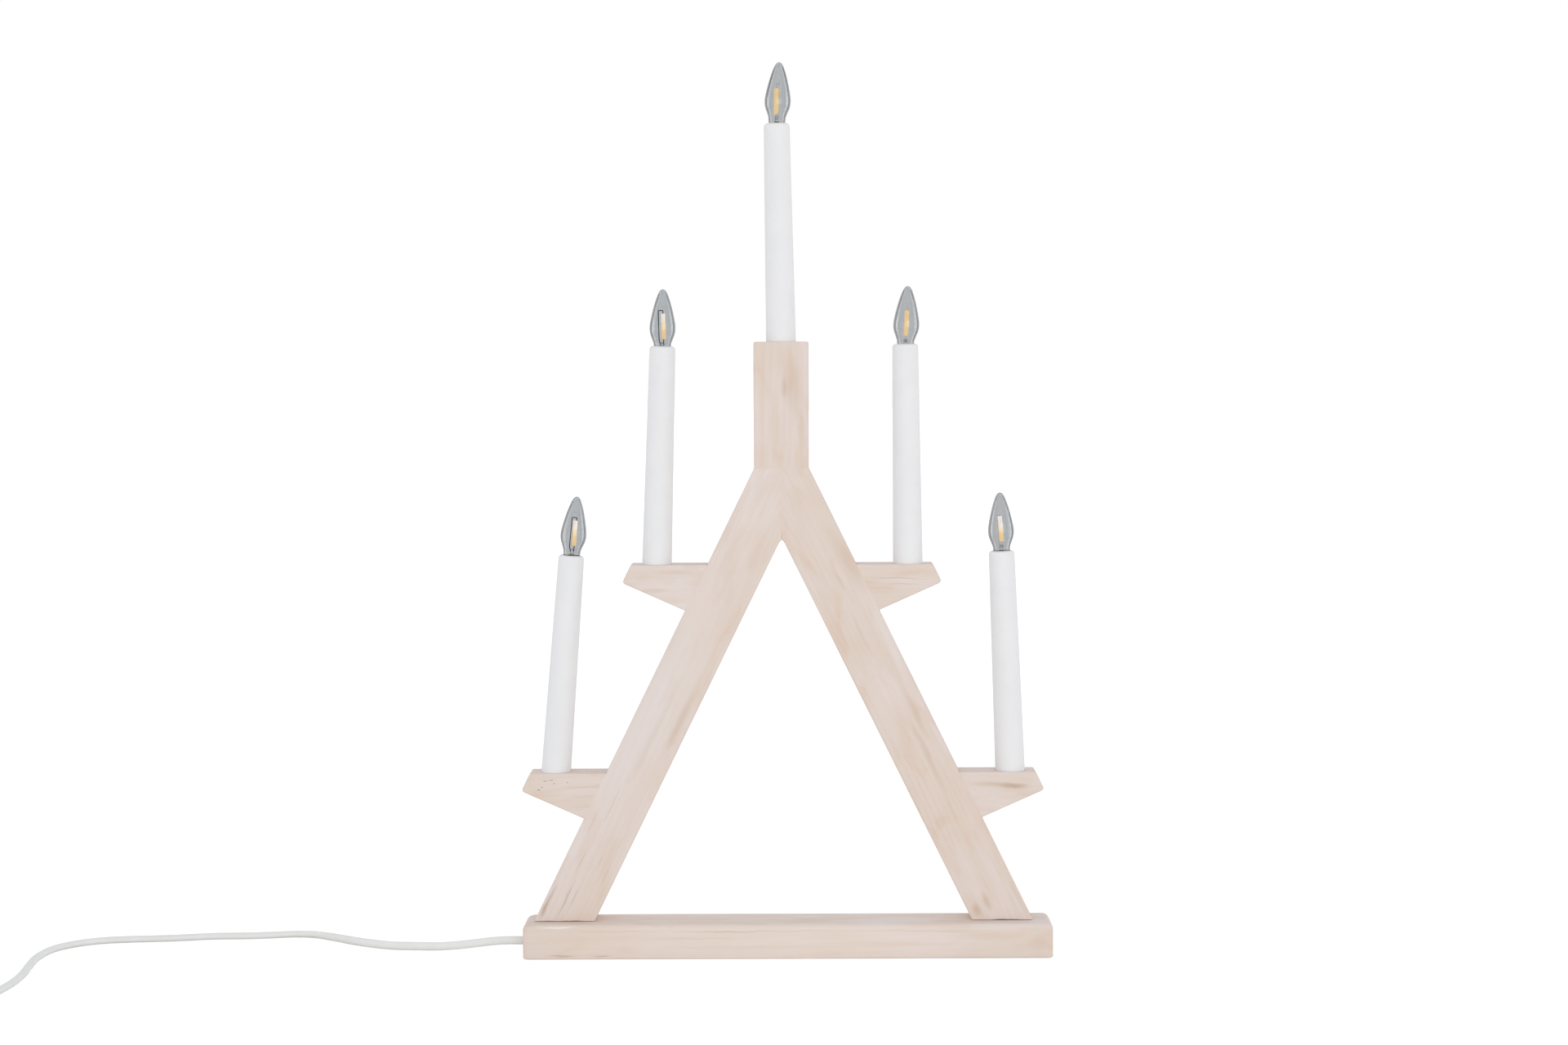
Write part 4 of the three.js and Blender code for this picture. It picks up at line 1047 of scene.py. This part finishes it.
# %% The boards and their marks
AMBER = "#d9c4b0"
BROWN = "#c6ab92"
DARK = "#9a7d66"
# painted highlight: a pale streak where the light glints on the base's front roundover
PAINTED_HIGHLIGHT = "#f1e7e0"
WASH = "#e4dbd9"
# painted light: a broad pale wash that brightens the whole front of the base
PAINTED_LIGHT_WASH = "#ecddd3"
# painted shade: the colour of the dark line under each foot
PAINTED_SHADE_LINE = "#4c3e34"
# the last mark of each leg is painted shade: a dark line along its foot, where it sits on the base
MARKS = {
    "left_leg": [
        (-84, 150, 460, 60, WASH, 0.5), (-144, 35, 30, 3, DARK, 0.35),
        (-147.5, 28, 16, 4, DARK, 0.35), (-134, 35, 34, 2, DARK, 0.3),
        (-83, 130, 100, 7, BROWN, 0.18), (-64, 143, 62, 7, BROWN, 0.4),
        (-106, 92, 40, 2, BROWN, 0.3), (-54, 164, 50, 8, AMBER, 0.4),
        (-122, 70, 40, 6, AMBER, 0.35), (-118, 82, 26, 3, BROWN, 0.2),
        (-125, 58, 24, 1.4, DARK, 0.22), (-129.5, 35, 26, 1.4, DARK, 0.22),
        (-113, 58, 14, 1.2, DARK, 0.2), (-136, 21, 40, 1.5, PAINTED_SHADE_LINE, 0.7, 90),
    ],
    "right_leg": [
        (36, 240, 56, 14, BROWN, 0.3), (32, 228, 18, 3, DARK, 0.12), (45, 196, 40, 3, DARK, 0.12),
        (60, 182, 90, 12, AMBER, 0.45), (78, 146, 50, 6, BROWN, 0.3), (83, 126, 60, 5, BROWN, 0.35),
        (92, 108, 40, 5, DARK, 0.08), (112, 62, 80, 14, AMBER, 0.4), (115, 27.5, 13, 7, BROWN, 0.6),
        (120.5, 33, 18, 6, BROWN, 0.55), (138, 38, 30, 4, BROWN, 0.2),
        (130, 21, 46, 1.7, PAINTED_SHADE_LINE, 0.75, 90),
    ],
    "post": [
        (-14, 325, 110, 6, AMBER, 0.4), (5, 345, 56, 14, BROWN, 0.3), (-1, 344, 20, 6, DARK, 0.2),
        (9, 320, 36, 6, BROWN, 0.25), (-6, 322, 60, 10, AMBER, 0.3),
    ],
    "lower_left_arm": [
        (-124, 103, 34, 2, BROWN, 0.3), (-146, 107, 4, 0.8, DARK, 0.9),
        (-142.6, 107.4, 4.4, 0.7, DARK, 0.9), (-141, 105.6, 1.6, 0.9, DARK, 0.9),
        (-133, 106, 1.4, 1, DARK, 0.9), (-148, 103.4, 2, 1.2, DARK, 0.8),
        (-150, 101.6, 3, 1.4, DARK, 0.7), (-122, 97, 34, 3, BROWN, 0.25),
        (-112, 104, 18, 4, BROWN, 0.25),
    ],
    "upper_left_arm": [
        (-74, 226, 90, 50, WASH, 0.3), (-68, 233, 30, 4, AMBER, 0.5), (-80, 222, 24, 5, BROWN, 0.3),
        (-86, 230, 16, 7, AMBER, 0.3),
    ],
    "upper_right_arm": [
        (66, 229, 46, 1, DARK, 0.32), (70, 225.6, 34, 0.9, DARK, 0.25),
        (60, 222, 30, 8, AMBER, 0.3), (82, 233, 30, 2.4, AMBER, 0.4),
    ],
    "lower_right_arm": [
        (137, 103.2, 24, 4.6, DARK, 0.42), (128, 103.6, 44, 5, BROWN, 0.45),
        (143, 98, 16, 4, BROWN, 0.2),
    ],
    "base": [
        # the first mark is painted light, a pale wash over the base's front
        (-10, 9, 420, 60, PAINTED_LIGHT_WASH, 0.55), (-36, 16.9, 80, 0.9, DARK, 0.4),
        (10, 17.2, 60, 0.7, BROWN, 0.4), (80, 17.1, 120, 0.8, BROWN, 0.35),
        # the last mark of this line is the painted highlight on the front roundover
        (-110, 17.3, 90, 0.8, BROWN, 0.3), (-139, 19.6, 34, 1.8, PAINTED_HIGHLIGHT, 0.95),
        (-60, 12.6, 90, 2.4, BROWN, 0.2), (-20, 7, 150, 3, BROWN, 0.15),
        (122, 14, 60, 9, AMBER, 0.5), (60, 9, 90, 5, AMBER, 0.3), (-136, 2.4, 24, 2, DARK, 0.35),
        (-112, 2.2, 16, 1.6, DARK, 0.3), (-128, 12, 60, 8, AMBER, 0.3),
        (150, 10, 20, 10, AMBER, 0.4),
    ],
}
GRAIN_LEAN = {
    "left_leg": LEG_LEAN, "right_leg": -LEG_LEAN, "post": 0, "lower_left_arm": 88,
    "upper_left_arm": 90, "upper_right_arm": 91, "lower_right_arm": 92, "base": 90,
}
FRAME_FRONT, BASE_FRONT = -6.9, -18
pines = {}
for seed, (board, lean) in enumerate(GRAIN_LEAN.items(), 1):
    front = BASE_FRONT if board == "base" else FRAME_FRONT
    pines[board] = pine("whitewashed_pine_" + board, lean, seed, front, MARKS[board])
print("pine boards:", len(pines))

# %% [markdown]
# ### The other finishes
#
# Each one starts from what the real material is and gets the small unevenness that its making
# leaves.


# %% Plastics
def moulded(name, hex_code, roughness, speckle_mm, depth_mm, mottle="#fbfbfb"):
    """Moulded plastic: a fine eroded texture from the mould, and a very faint mottle."""
    made, tree, shader = material(name, {"Roughness": roughness, "IOR": 1.46})
    place = add(tree, "ShaderNodeTexCoord").outputs["Object"]
    cloud = add(
        tree, "ShaderNodeTexNoise", {"Scale": 1 / (14 * MM), "Detail": 2.0}, {"Vector": place}
    )
    tone = add(
        tree, "ShaderNodeValToRGB", links={"Fac": cloud}, stops=[(0.35, mottle), (0.65, "#ffffff")]
    )
    plain = {"Factor": 1.0, "A": colour(hex_code)}
    link(tree, add(tree, "ShaderNodeMix", plain, {"B": tone}, **TIMES), shader.inputs["Base Color"])
    fine = {"Scale": 1 / (speckle_mm * MM), "Detail": 3.0}
    speckle = add(tree, "ShaderNodeTexNoise", fine, {"Vector": place})
    raised = {"Strength": 0.25, "Distance": depth_mm * MM}
    link(tree, add(tree, "ShaderNodeBump", raised, {"Height": speckle}), shader.inputs["Normal"])
    return made


# polypropylene tube, moulded with a fine matt texture: a soft sheen and no sharp reflection
tube_plastic = moulded("matt_white_polypropylene", "#eae9ea", 0.55, 0.9, 0.02, "#fdfdfd")
# PVC sheath: softer and a little duller than the tubes
cord_plastic = moulded("white_pvc_sheath", "#e8e7e4", 0.5, 1.4, 0.04)
# the plug's PVC is harder and takes a little more gloss from its mould
plug_plastic = moulded("white_pvc_plug", "#e8e8e6", 0.42, 0.7, 0.03)
# thermoset shows a smooth, slightly grey gloss
holder_plastic = moulded("white_thermoset_lampholder", "#dfdedb", 0.4, 0.8, 0.02)
# polyamide is creamy and the glossiest of them
terminal_plastic = moulded("natural_polyamide_terminal", "#d9d6cc", 0.35, 0.9, 0.02)
wire_plastic = moulded("white_pvc_wire", "#dededc", 0.45, 0.8, 0.02)
# thin polythene strip, waxy and light grey
tie_plastic = moulded("grey_polythene_tie", "#c9cacb", 0.45, 0.9, 0.03)


# %% Metals
def metal(name, hex_code, roughness, grain_mm):
    """Metal with faint drawing or tumbling marks that vary its gloss."""
    made, tree, shader = material(name, {"Base Color": colour(hex_code), "Metallic": 1.0})
    place = add(tree, "ShaderNodeTexCoord").outputs["Object"]
    marks = add(
        tree, "ShaderNodeTexNoise", {"Scale": 1 / (grain_mm * MM), "Detail": 4.0}, {"Vector": place}
    )
    gloss = {
        "From Min": 0.3, "From Max": 0.7, "To Min": roughness - 0.08, "To Max": roughness + 0.1,
    }
    link(tree, add(tree, "ShaderNodeMapRange", gloss, {"Value": marks}), shader.inputs["Roughness"])
    raised = {"Strength": 0.15, "Distance": 0.02 * MM}
    link(tree, add(tree, "ShaderNodeBump", raised, {"Height": marks}), shader.inputs["Normal"])
    return made


# rolled brass of caps and contacts, a little tarnished
brass = metal("rolled_brass", "#c9a255", 0.3, 1.2)
# zinc plating on the screws
zinc = metal("zinc_plated_steel", "#b9bdc2", 0.34, 0.8)
# nickel-plated plug pins, smooth and bright
nickel = metal("nickel_plated_brass", "#c8c6c0", 0.22, 1.5)
# painted shade: a dark grey copy of the support wires' bright nickel, for wires that stand in shade
shaded_wire_metal = metal("nickel_wire_painted_shade", "#2c2d30", 0.5, 0.6)
# the support wires' own bright nickel
bright_metal = metal("bright_nickel_wire", "#d4d4d2", 0.2, 0.6)


# %% Wood of the hidden pieces
def fibrous(name, dark, light, roughness, scale_mm, stretch):
    """Hardboard or a plain dowel: short fibres, more or less in one direction."""
    made, tree, shader = material(name, {"Roughness": roughness})
    place = add(tree, "ShaderNodeTexCoord").outputs["Object"]
    scale = tuple(s / (scale_mm * MM) for s in stretch)
    laid = add(tree, "ShaderNodeMapping", {"Scale": scale}, {"Vector": place})
    rough = {"Scale": 1.0, "Detail": 5.0, "Roughness": 0.65}
    fibres = add(tree, "ShaderNodeTexNoise", rough, {"Vector": laid})
    tone = add(tree, "ShaderNodeValToRGB", links={"Fac": fibres}, stops=[(0.3, dark), (0.7, light)])
    link(tree, tone, shader.inputs["Base Color"])
    raised = {"Strength": 0.3, "Distance": 0.08 * MM}
    link(tree, add(tree, "ShaderNodeBump", raised, {"Height": fibres}), shader.inputs["Normal"])
    return made


# pressed wood fibre with one smooth brown face
hardboard = fibrous("brown_hardboard", "#6f5238", "#94734f", 0.7, 1.2, (0.5, 0.7, 1))
# fluted beech dowel
beech = fibrous("beech_dowel", "#c39a6c", "#dcb98a", 0.6, 0.8, (0.15, 1, 1))

# %% [markdown]
# ### Glass and light
#
# The bulbs' glass is thin and clean, so it shows mostly through what it bends and mirrors. A trace
# of grey in its body dulls what is seen through four surfaces. Towards the rim, where the light
# runs along the wall instead of through it, Layer Weight deepens that grey into painted shade.

# %% Clear glass
# how far from facing us the painted shade starts to darken the glass, and where it is as dark as at
# its rim
RIM_SHADE_FROM, RIM_SHADE_FULL = 0.52, 0.68


def clear_glass(name, middle, rim):
    made, tree, shader = material(
        name, {"Roughness": 0.0, "IOR": 1.5, "Transmission Weight": 1.0}
    )
    facing = add(tree, "ShaderNodeLayerWeight", {"Blend": 0.5}).outputs["Facing"]
    # the glass's colour turns to painted shade towards its rim
    tint = add(tree, "ShaderNodeValToRGB", links={"Fac": facing}, stops=[
        (0.0, middle), (RIM_SHADE_FROM, middle), (RIM_SHADE_FULL, rim), (1.0, rim),
    ])
    link(tree, tint, shader.inputs["Base Color"])
    return made


# soda-lime glass, blown: clean, with a dark outline of painted shade
bulb_glass = clear_glass("clear_blown_glass", "#e6e8ea", "#74777b")
# the stem's glass is pressed and thick, and its painted rim shade is paler because it stands inside
stem_glass = clear_glass("clear_pressed_stem", "#f6f7f8", "#d6d8da")


# %% Filament coating
def phosphor():
    """Silicone with yellow phosphor: amber, with a painted highlight that turns its top pale, and a
    painted glow though the bulb is off.
    """
    # painted glow: the coat gives off light of its own, though the bulb is not lit
    made, tree, shader = material("phosphor_coating_painted_glow", {"Roughness": 0.5, "Emission Strength": 0.68})
    share = add(tree, "ShaderNodeAttribute", attribute_name="along_rod").outputs["Fac"]
    place = add(tree, "ShaderNodeTexCoord").outputs["Object"]
    grain = add(
        tree, "ShaderNodeTexNoise", {"Scale": 1 / (0.9 * MM), "Detail": 2.0}, {"Vector": place}
    )
    uneven = add(tree, "ShaderNodeMath", {1: 0.1}, {0: grain, 2: share}, operation="MULTIPLY_ADD")
    # amber below; the pale stops are the painted highlight on the rod's top
    tone = add(tree, "ShaderNodeValToRGB", links={"Fac": uneven}, stops=[
        (0.0, "#ebc586"), (0.3, "#ecc88c"), (0.5, "#eed2a0"), (0.6, "#f0dfc8"), (1.0, "#f0e7de"),
    ])
    for socket in ("Base Color", "Emission Color"):
        link(tree, tone, shader.inputs[socket])
    return made


# the filament's coat, with its painted glow and painted highlight
rod_phosphor_painted_glow = phosphor()
print("materials:", len(bpy.data.materials))

# %% [markdown]
# ## Putting the finishes on
#
# CAD nodes whose shape is right keep their mesh and only get their material. New pieces stand for
# the nodes that they replace, and every piece rides on the body that carries it.

# %% Finishes of the CAD nodes
NODE_FINISH = {
    **pines,
    "base_cover": hardboard,
    "terminal_block": terminal_plastic,
    "cord_clamp": terminal_plastic,
    "cord_inside": cord_plastic,
}
# nodes that are known by a part of their name
KIND_FINISH = {
    "_foot_screw": zinc, "_dowel": beech, "wire_": wire_plastic, "_lampholder": holder_plastic,
    "_contact": brass,
}
dressed = 0
for name, node in nodes.items():
    for kind, finish in KIND_FINISH.items():
        if kind in name:
            NODE_FINISH[name] = finish
    if name in NODE_FINISH:
        dressed += 1
        for slot in node.material_slots:
            slot.material = NODE_FINISH[name]
print("CAD nodes dressed:", dressed)


# %% Pieces that replace nodes
def stand_for(piece, finishes, body, slot, *replaced):
    """Puts on a piece's materials, hangs it on its body, and hides the nodes that it stands for."""
    piece.data.materials.clear()
    for finish in finishes:
        piece.data.materials.append(finish)
    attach(piece, body)
    if replaced:
        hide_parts(*replaced)


stand_for(base_board, [pines["base"]], "candlestick", "whitewashed_pine", "base")
for board, plate in glue_lines:
    stand_for(plate, [pines[board]], "candlestick", "whitewashed_pine")
for name in CANDLES:
    bulb = name + "_bulb"
    tube, glass, cap = tubes[name], glasses[name], caps[name]
    stand_for(tube, [tube_plastic], "candlestick", "white_plastic", name + "_candle_tube")
    stand_for(glass, [bulb_glass], bulb, "clear_glass", name + "_bulb_glass")
    # clear glass this thin casts next to no shadow
    glass.visible_shadow = False
    stand_for(cap, [brass], bulb, "brass", name + "_bulb_cap")
    askew, rod_askew, raised, highlight_from = INSIDES[name]
    stem, wires, rod = (copy_of(insides[part], "%s_%s" % (name, part)) for part in insides)
    for piece in (stem, wires):
        apply_place(piece, glass_place(name, askew))
    # the painted highlight starts this far up the rod
    mark_painted_highlight(rod, highlight_from)
    apply_place(rod, glass_place(name, rod_askew) @ move(0, 0, raised))
    stand_for(stem, [stem_glass], bulb, "clear_glass")
    stem.visible_shadow = False
    # the two left bulbs' wires get the dark copy, which paints their shade
    wire_metal = shaded_wire_metal if name in ("lower_left", "upper_left") else bright_metal
    stand_for(wires, [wire_metal], bulb, "zinc_steel")
    stand_for(rod, [rod_phosphor_painted_glow], bulb, "led_filament", name + "_bulb_filament")
for model in insides.values():
    bpy.data.objects.remove(model)
print("bulbs:", len(CANDLES))

# %% The lead, its tie and its plug
stand_for(cord, [cord_plastic], "candlestick", "white_cord", "cord_run", "cord_coil")
stand_for(cord_tie, [tie_plastic], "candlestick", "white_plastic")
stand_for(plug_body, [plug_plastic], "candlestick", "white_plastic", "plug_body")
for pin, node in zip(plug_pins, ("plug_pin_left", "plug_pin_right")):
    stand_for(pin, [nickel], "candlestick", "zinc_steel", node)
print("lead's points:", len(cord_line))

# %% [markdown]
# ## Light and floor
#
# The photograph is a product shot, cut out on pure white. Only the camera sees that white. The
# glass still shows the studio as it was: a light grey backdrop behind the object, darkness beside
# it, and a tall white strip light on each side, which draws the white lines along the bulbs'
# flanks. The surround that lights the object is brightest level with it and falls off overhead.

# %% Surround
# each is a list of (position from -1 to 1, level)
LIGHTING = [(-1, 0.5), (-0.15, 1.14), (0.2, 1.17), (0.5, 1.0), (1, 0.72)]
STUDIO = [
    (-1, 0.6), (-0.5, 0.5), (-0.15, 0.04), (0.05, 0.04), (0.1, 1), (0.18, 3), (0.42, 3),
    (0.5, 0.6), (0.64, 0.28), (0.8, 0.36), (0.94, 0.68), (1, 0.68),
]
STUDIO_REACH = [(-1, 1), (0.2, 1), (0.34, 0.3), (1, 0.3)]
OVERHEAD = [(0.35, 0), (0.6, 0.8), (1, 0.8)]
# how much less of the lighting is mirrored than falls on the object
MIRRORED_LESS = 0.2


def level_over(tree, source, levels, top):
    """A number read off a curve over -1 to 1: levels are (position, number up to top)."""
    share = add(
        tree, "ShaderNodeMapRange", {"From Min": -1.0, "From Max": 1.0}, {"Value": source}
    )
    stops = [((position + 1) / 2, level / top) for position, level in levels]
    curve = add(tree, "ShaderNodeValToRGB", links={"Fac": share}, stops=stops)
    return add(tree, "ShaderNodeMath", {1: top}, {0: curve}, operation="MULTIPLY")


def make_world():
    world = bpy.data.worlds.new("surround")
    bpy.context.scene.world = world
    world.use_nodes = True
    tree = world.node_tree
    tree.nodes.clear()
    path = add(tree, "ShaderNodeLightPath").outputs
    view = add(tree, "ShaderNodeTexCoord").outputs["Generated"]
    towards = add(tree, "ShaderNodeSeparateXYZ", links={"Vector": view}).outputs
    # lighting, from straight down to straight up
    lighting = level_over(tree, towards["Z"], LIGHTING, 1.2)
    # what is seen through glass, from the camera's side to the backdrop behind the object
    studio = level_over(tree, towards["Y"], STUDIO, 4)
    # the side lights and the backdrop end a little above the bulbs' own height; higher up is one
    # more light, right overhead
    reach = level_over(tree, towards["Z"], STUDIO_REACH, 1)
    overhead = level_over(tree, towards["Z"], OVERHEAD, 1)
    studio = add(
        tree, "ShaderNodeMath", links={0: studio, 1: reach, 2: overhead}, operation="MULTIPLY_ADD"
    )
    # what is mirrored is the even lighting, a little darker, which keeps the glass free of grain
    share = add(
        tree, "ShaderNodeMath", {1: -MIRRORED_LESS, 2: 1.0}, {0: path["Is Glossy Ray"]},
        operation="MULTIPLY_ADD",
    )
    lighting = add(tree, "ShaderNodeMath", links={0: lighting, 1: share}, operation="MULTIPLY")
    level = add(
        tree, "ShaderNodeMix", data_type="FLOAT",
        links={"Factor": path["Is Transmission Ray"], "A": lighting, "B": studio},
    )
    level = add(
        tree, "ShaderNodeMix", {"B": 1.0}, {"Factor": path["Is Camera Ray"], "A": level},
        data_type="FLOAT",
    )
    # the light from above is a trace cooler
    height = add(tree, "ShaderNodeMapRange", links={"Value": towards["Z"]})
    tint = add(tree, "ShaderNodeValToRGB", links={"Fac": height}, stops=[
        (0.0, "#ffffff"), (0.55, "#ffffff"), (1.0, "#e6f3ff"),
    ])
    seen = add(
        tree, "ShaderNodeMix", {"B": colour("#ffffff")},
        {"Factor": path["Is Camera Ray"], "A": tint}, **BLEND,
    )
    back = add(tree, "ShaderNodeBackground", links={"Color": seen, "Strength": level})
    add(tree, "ShaderNodeOutputWorld", links={"Surface": back})


make_world()
print("surround: %d nodes" % len(bpy.context.scene.world.node_tree.nodes))

# %% Lamp
LAMP_PLACE, LAMP_AIM = Vector((0.5, -2.2, 0.5)), Vector((0, 0, 0.15))
LAMP_SIZE = (1.6, 1.0)
LAMP_POWER = 6


def make_lamp():
    data = bpy.data.lights.new("front_softbox", "AREA")
    data.shape = "RECTANGLE"
    data.size, data.size_y = LAMP_SIZE
    data.energy = LAMP_POWER
    lamp = put_in_scene("front_softbox", data)
    lamp.location = LAMP_PLACE
    lamp.rotation_euler = (LAMP_AIM - LAMP_PLACE).to_track_quat("-Z", "Y").to_euler()


make_lamp()
print("lamp: %d W" % LAMP_POWER)

# %% Floor
FLOOR_SIZE = 30
# a little below the feet, so that no two faces share a plane
FLOOR_Z = -0.0002
# what the camera sees of it is nearly white by itself, and the shadows fall on a faint grey
FLOOR_GLOW, FLOOR_GREY = 0.86, 0.3


def make_floor():
    pick()
    bpy.ops.mesh.primitive_plane_add(size=FLOOR_SIZE, location=(0, 0, FLOOR_Z))
    floor = bpy.context.object
    floor.name = "floor"
    made = bpy.data.materials.new("white_paper_floor")
    made.use_nodes = True
    tree = made.node_tree
    tree.nodes.clear()
    path = add(tree, "ShaderNodeLightPath").outputs
    paper = add(tree, "ShaderNodeBsdfDiffuse", {"Color": colour("#f1efeb")})
    faint = add(tree, "ShaderNodeBsdfDiffuse", {"Color": (FLOOR_GREY, FLOOR_GREY, FLOOR_GREY, 1)})
    glow = add(tree, "ShaderNodeEmission", {"Strength": FLOOR_GLOW})
    seen = add(tree, "ShaderNodeAddShader", links={0: faint, 1: glow})
    mixed = add(tree, "ShaderNodeMixShader", links={0: path["Is Camera Ray"], 1: paper, 2: seen})
    # glass and gloss look through it into the surround
    bent = add(
        tree, "ShaderNodeMath", links={0: path["Is Glossy Ray"], 1: path["Is Transmission Ray"]},
        operation="MAXIMUM",
    )
    open_air = add(tree, "ShaderNodeBsdfTransparent")
    mixed = add(tree, "ShaderNodeMixShader", links={0: bent, 1: mixed, 2: open_air})
    add(tree, "ShaderNodeOutputMaterial", links={"Surface": mixed})
    floor.data.materials.append(made)


make_floor()
print("floor: %d m" % FLOOR_SIZE)
bpy.context.scene.view_settings.view_transform = "Standard"
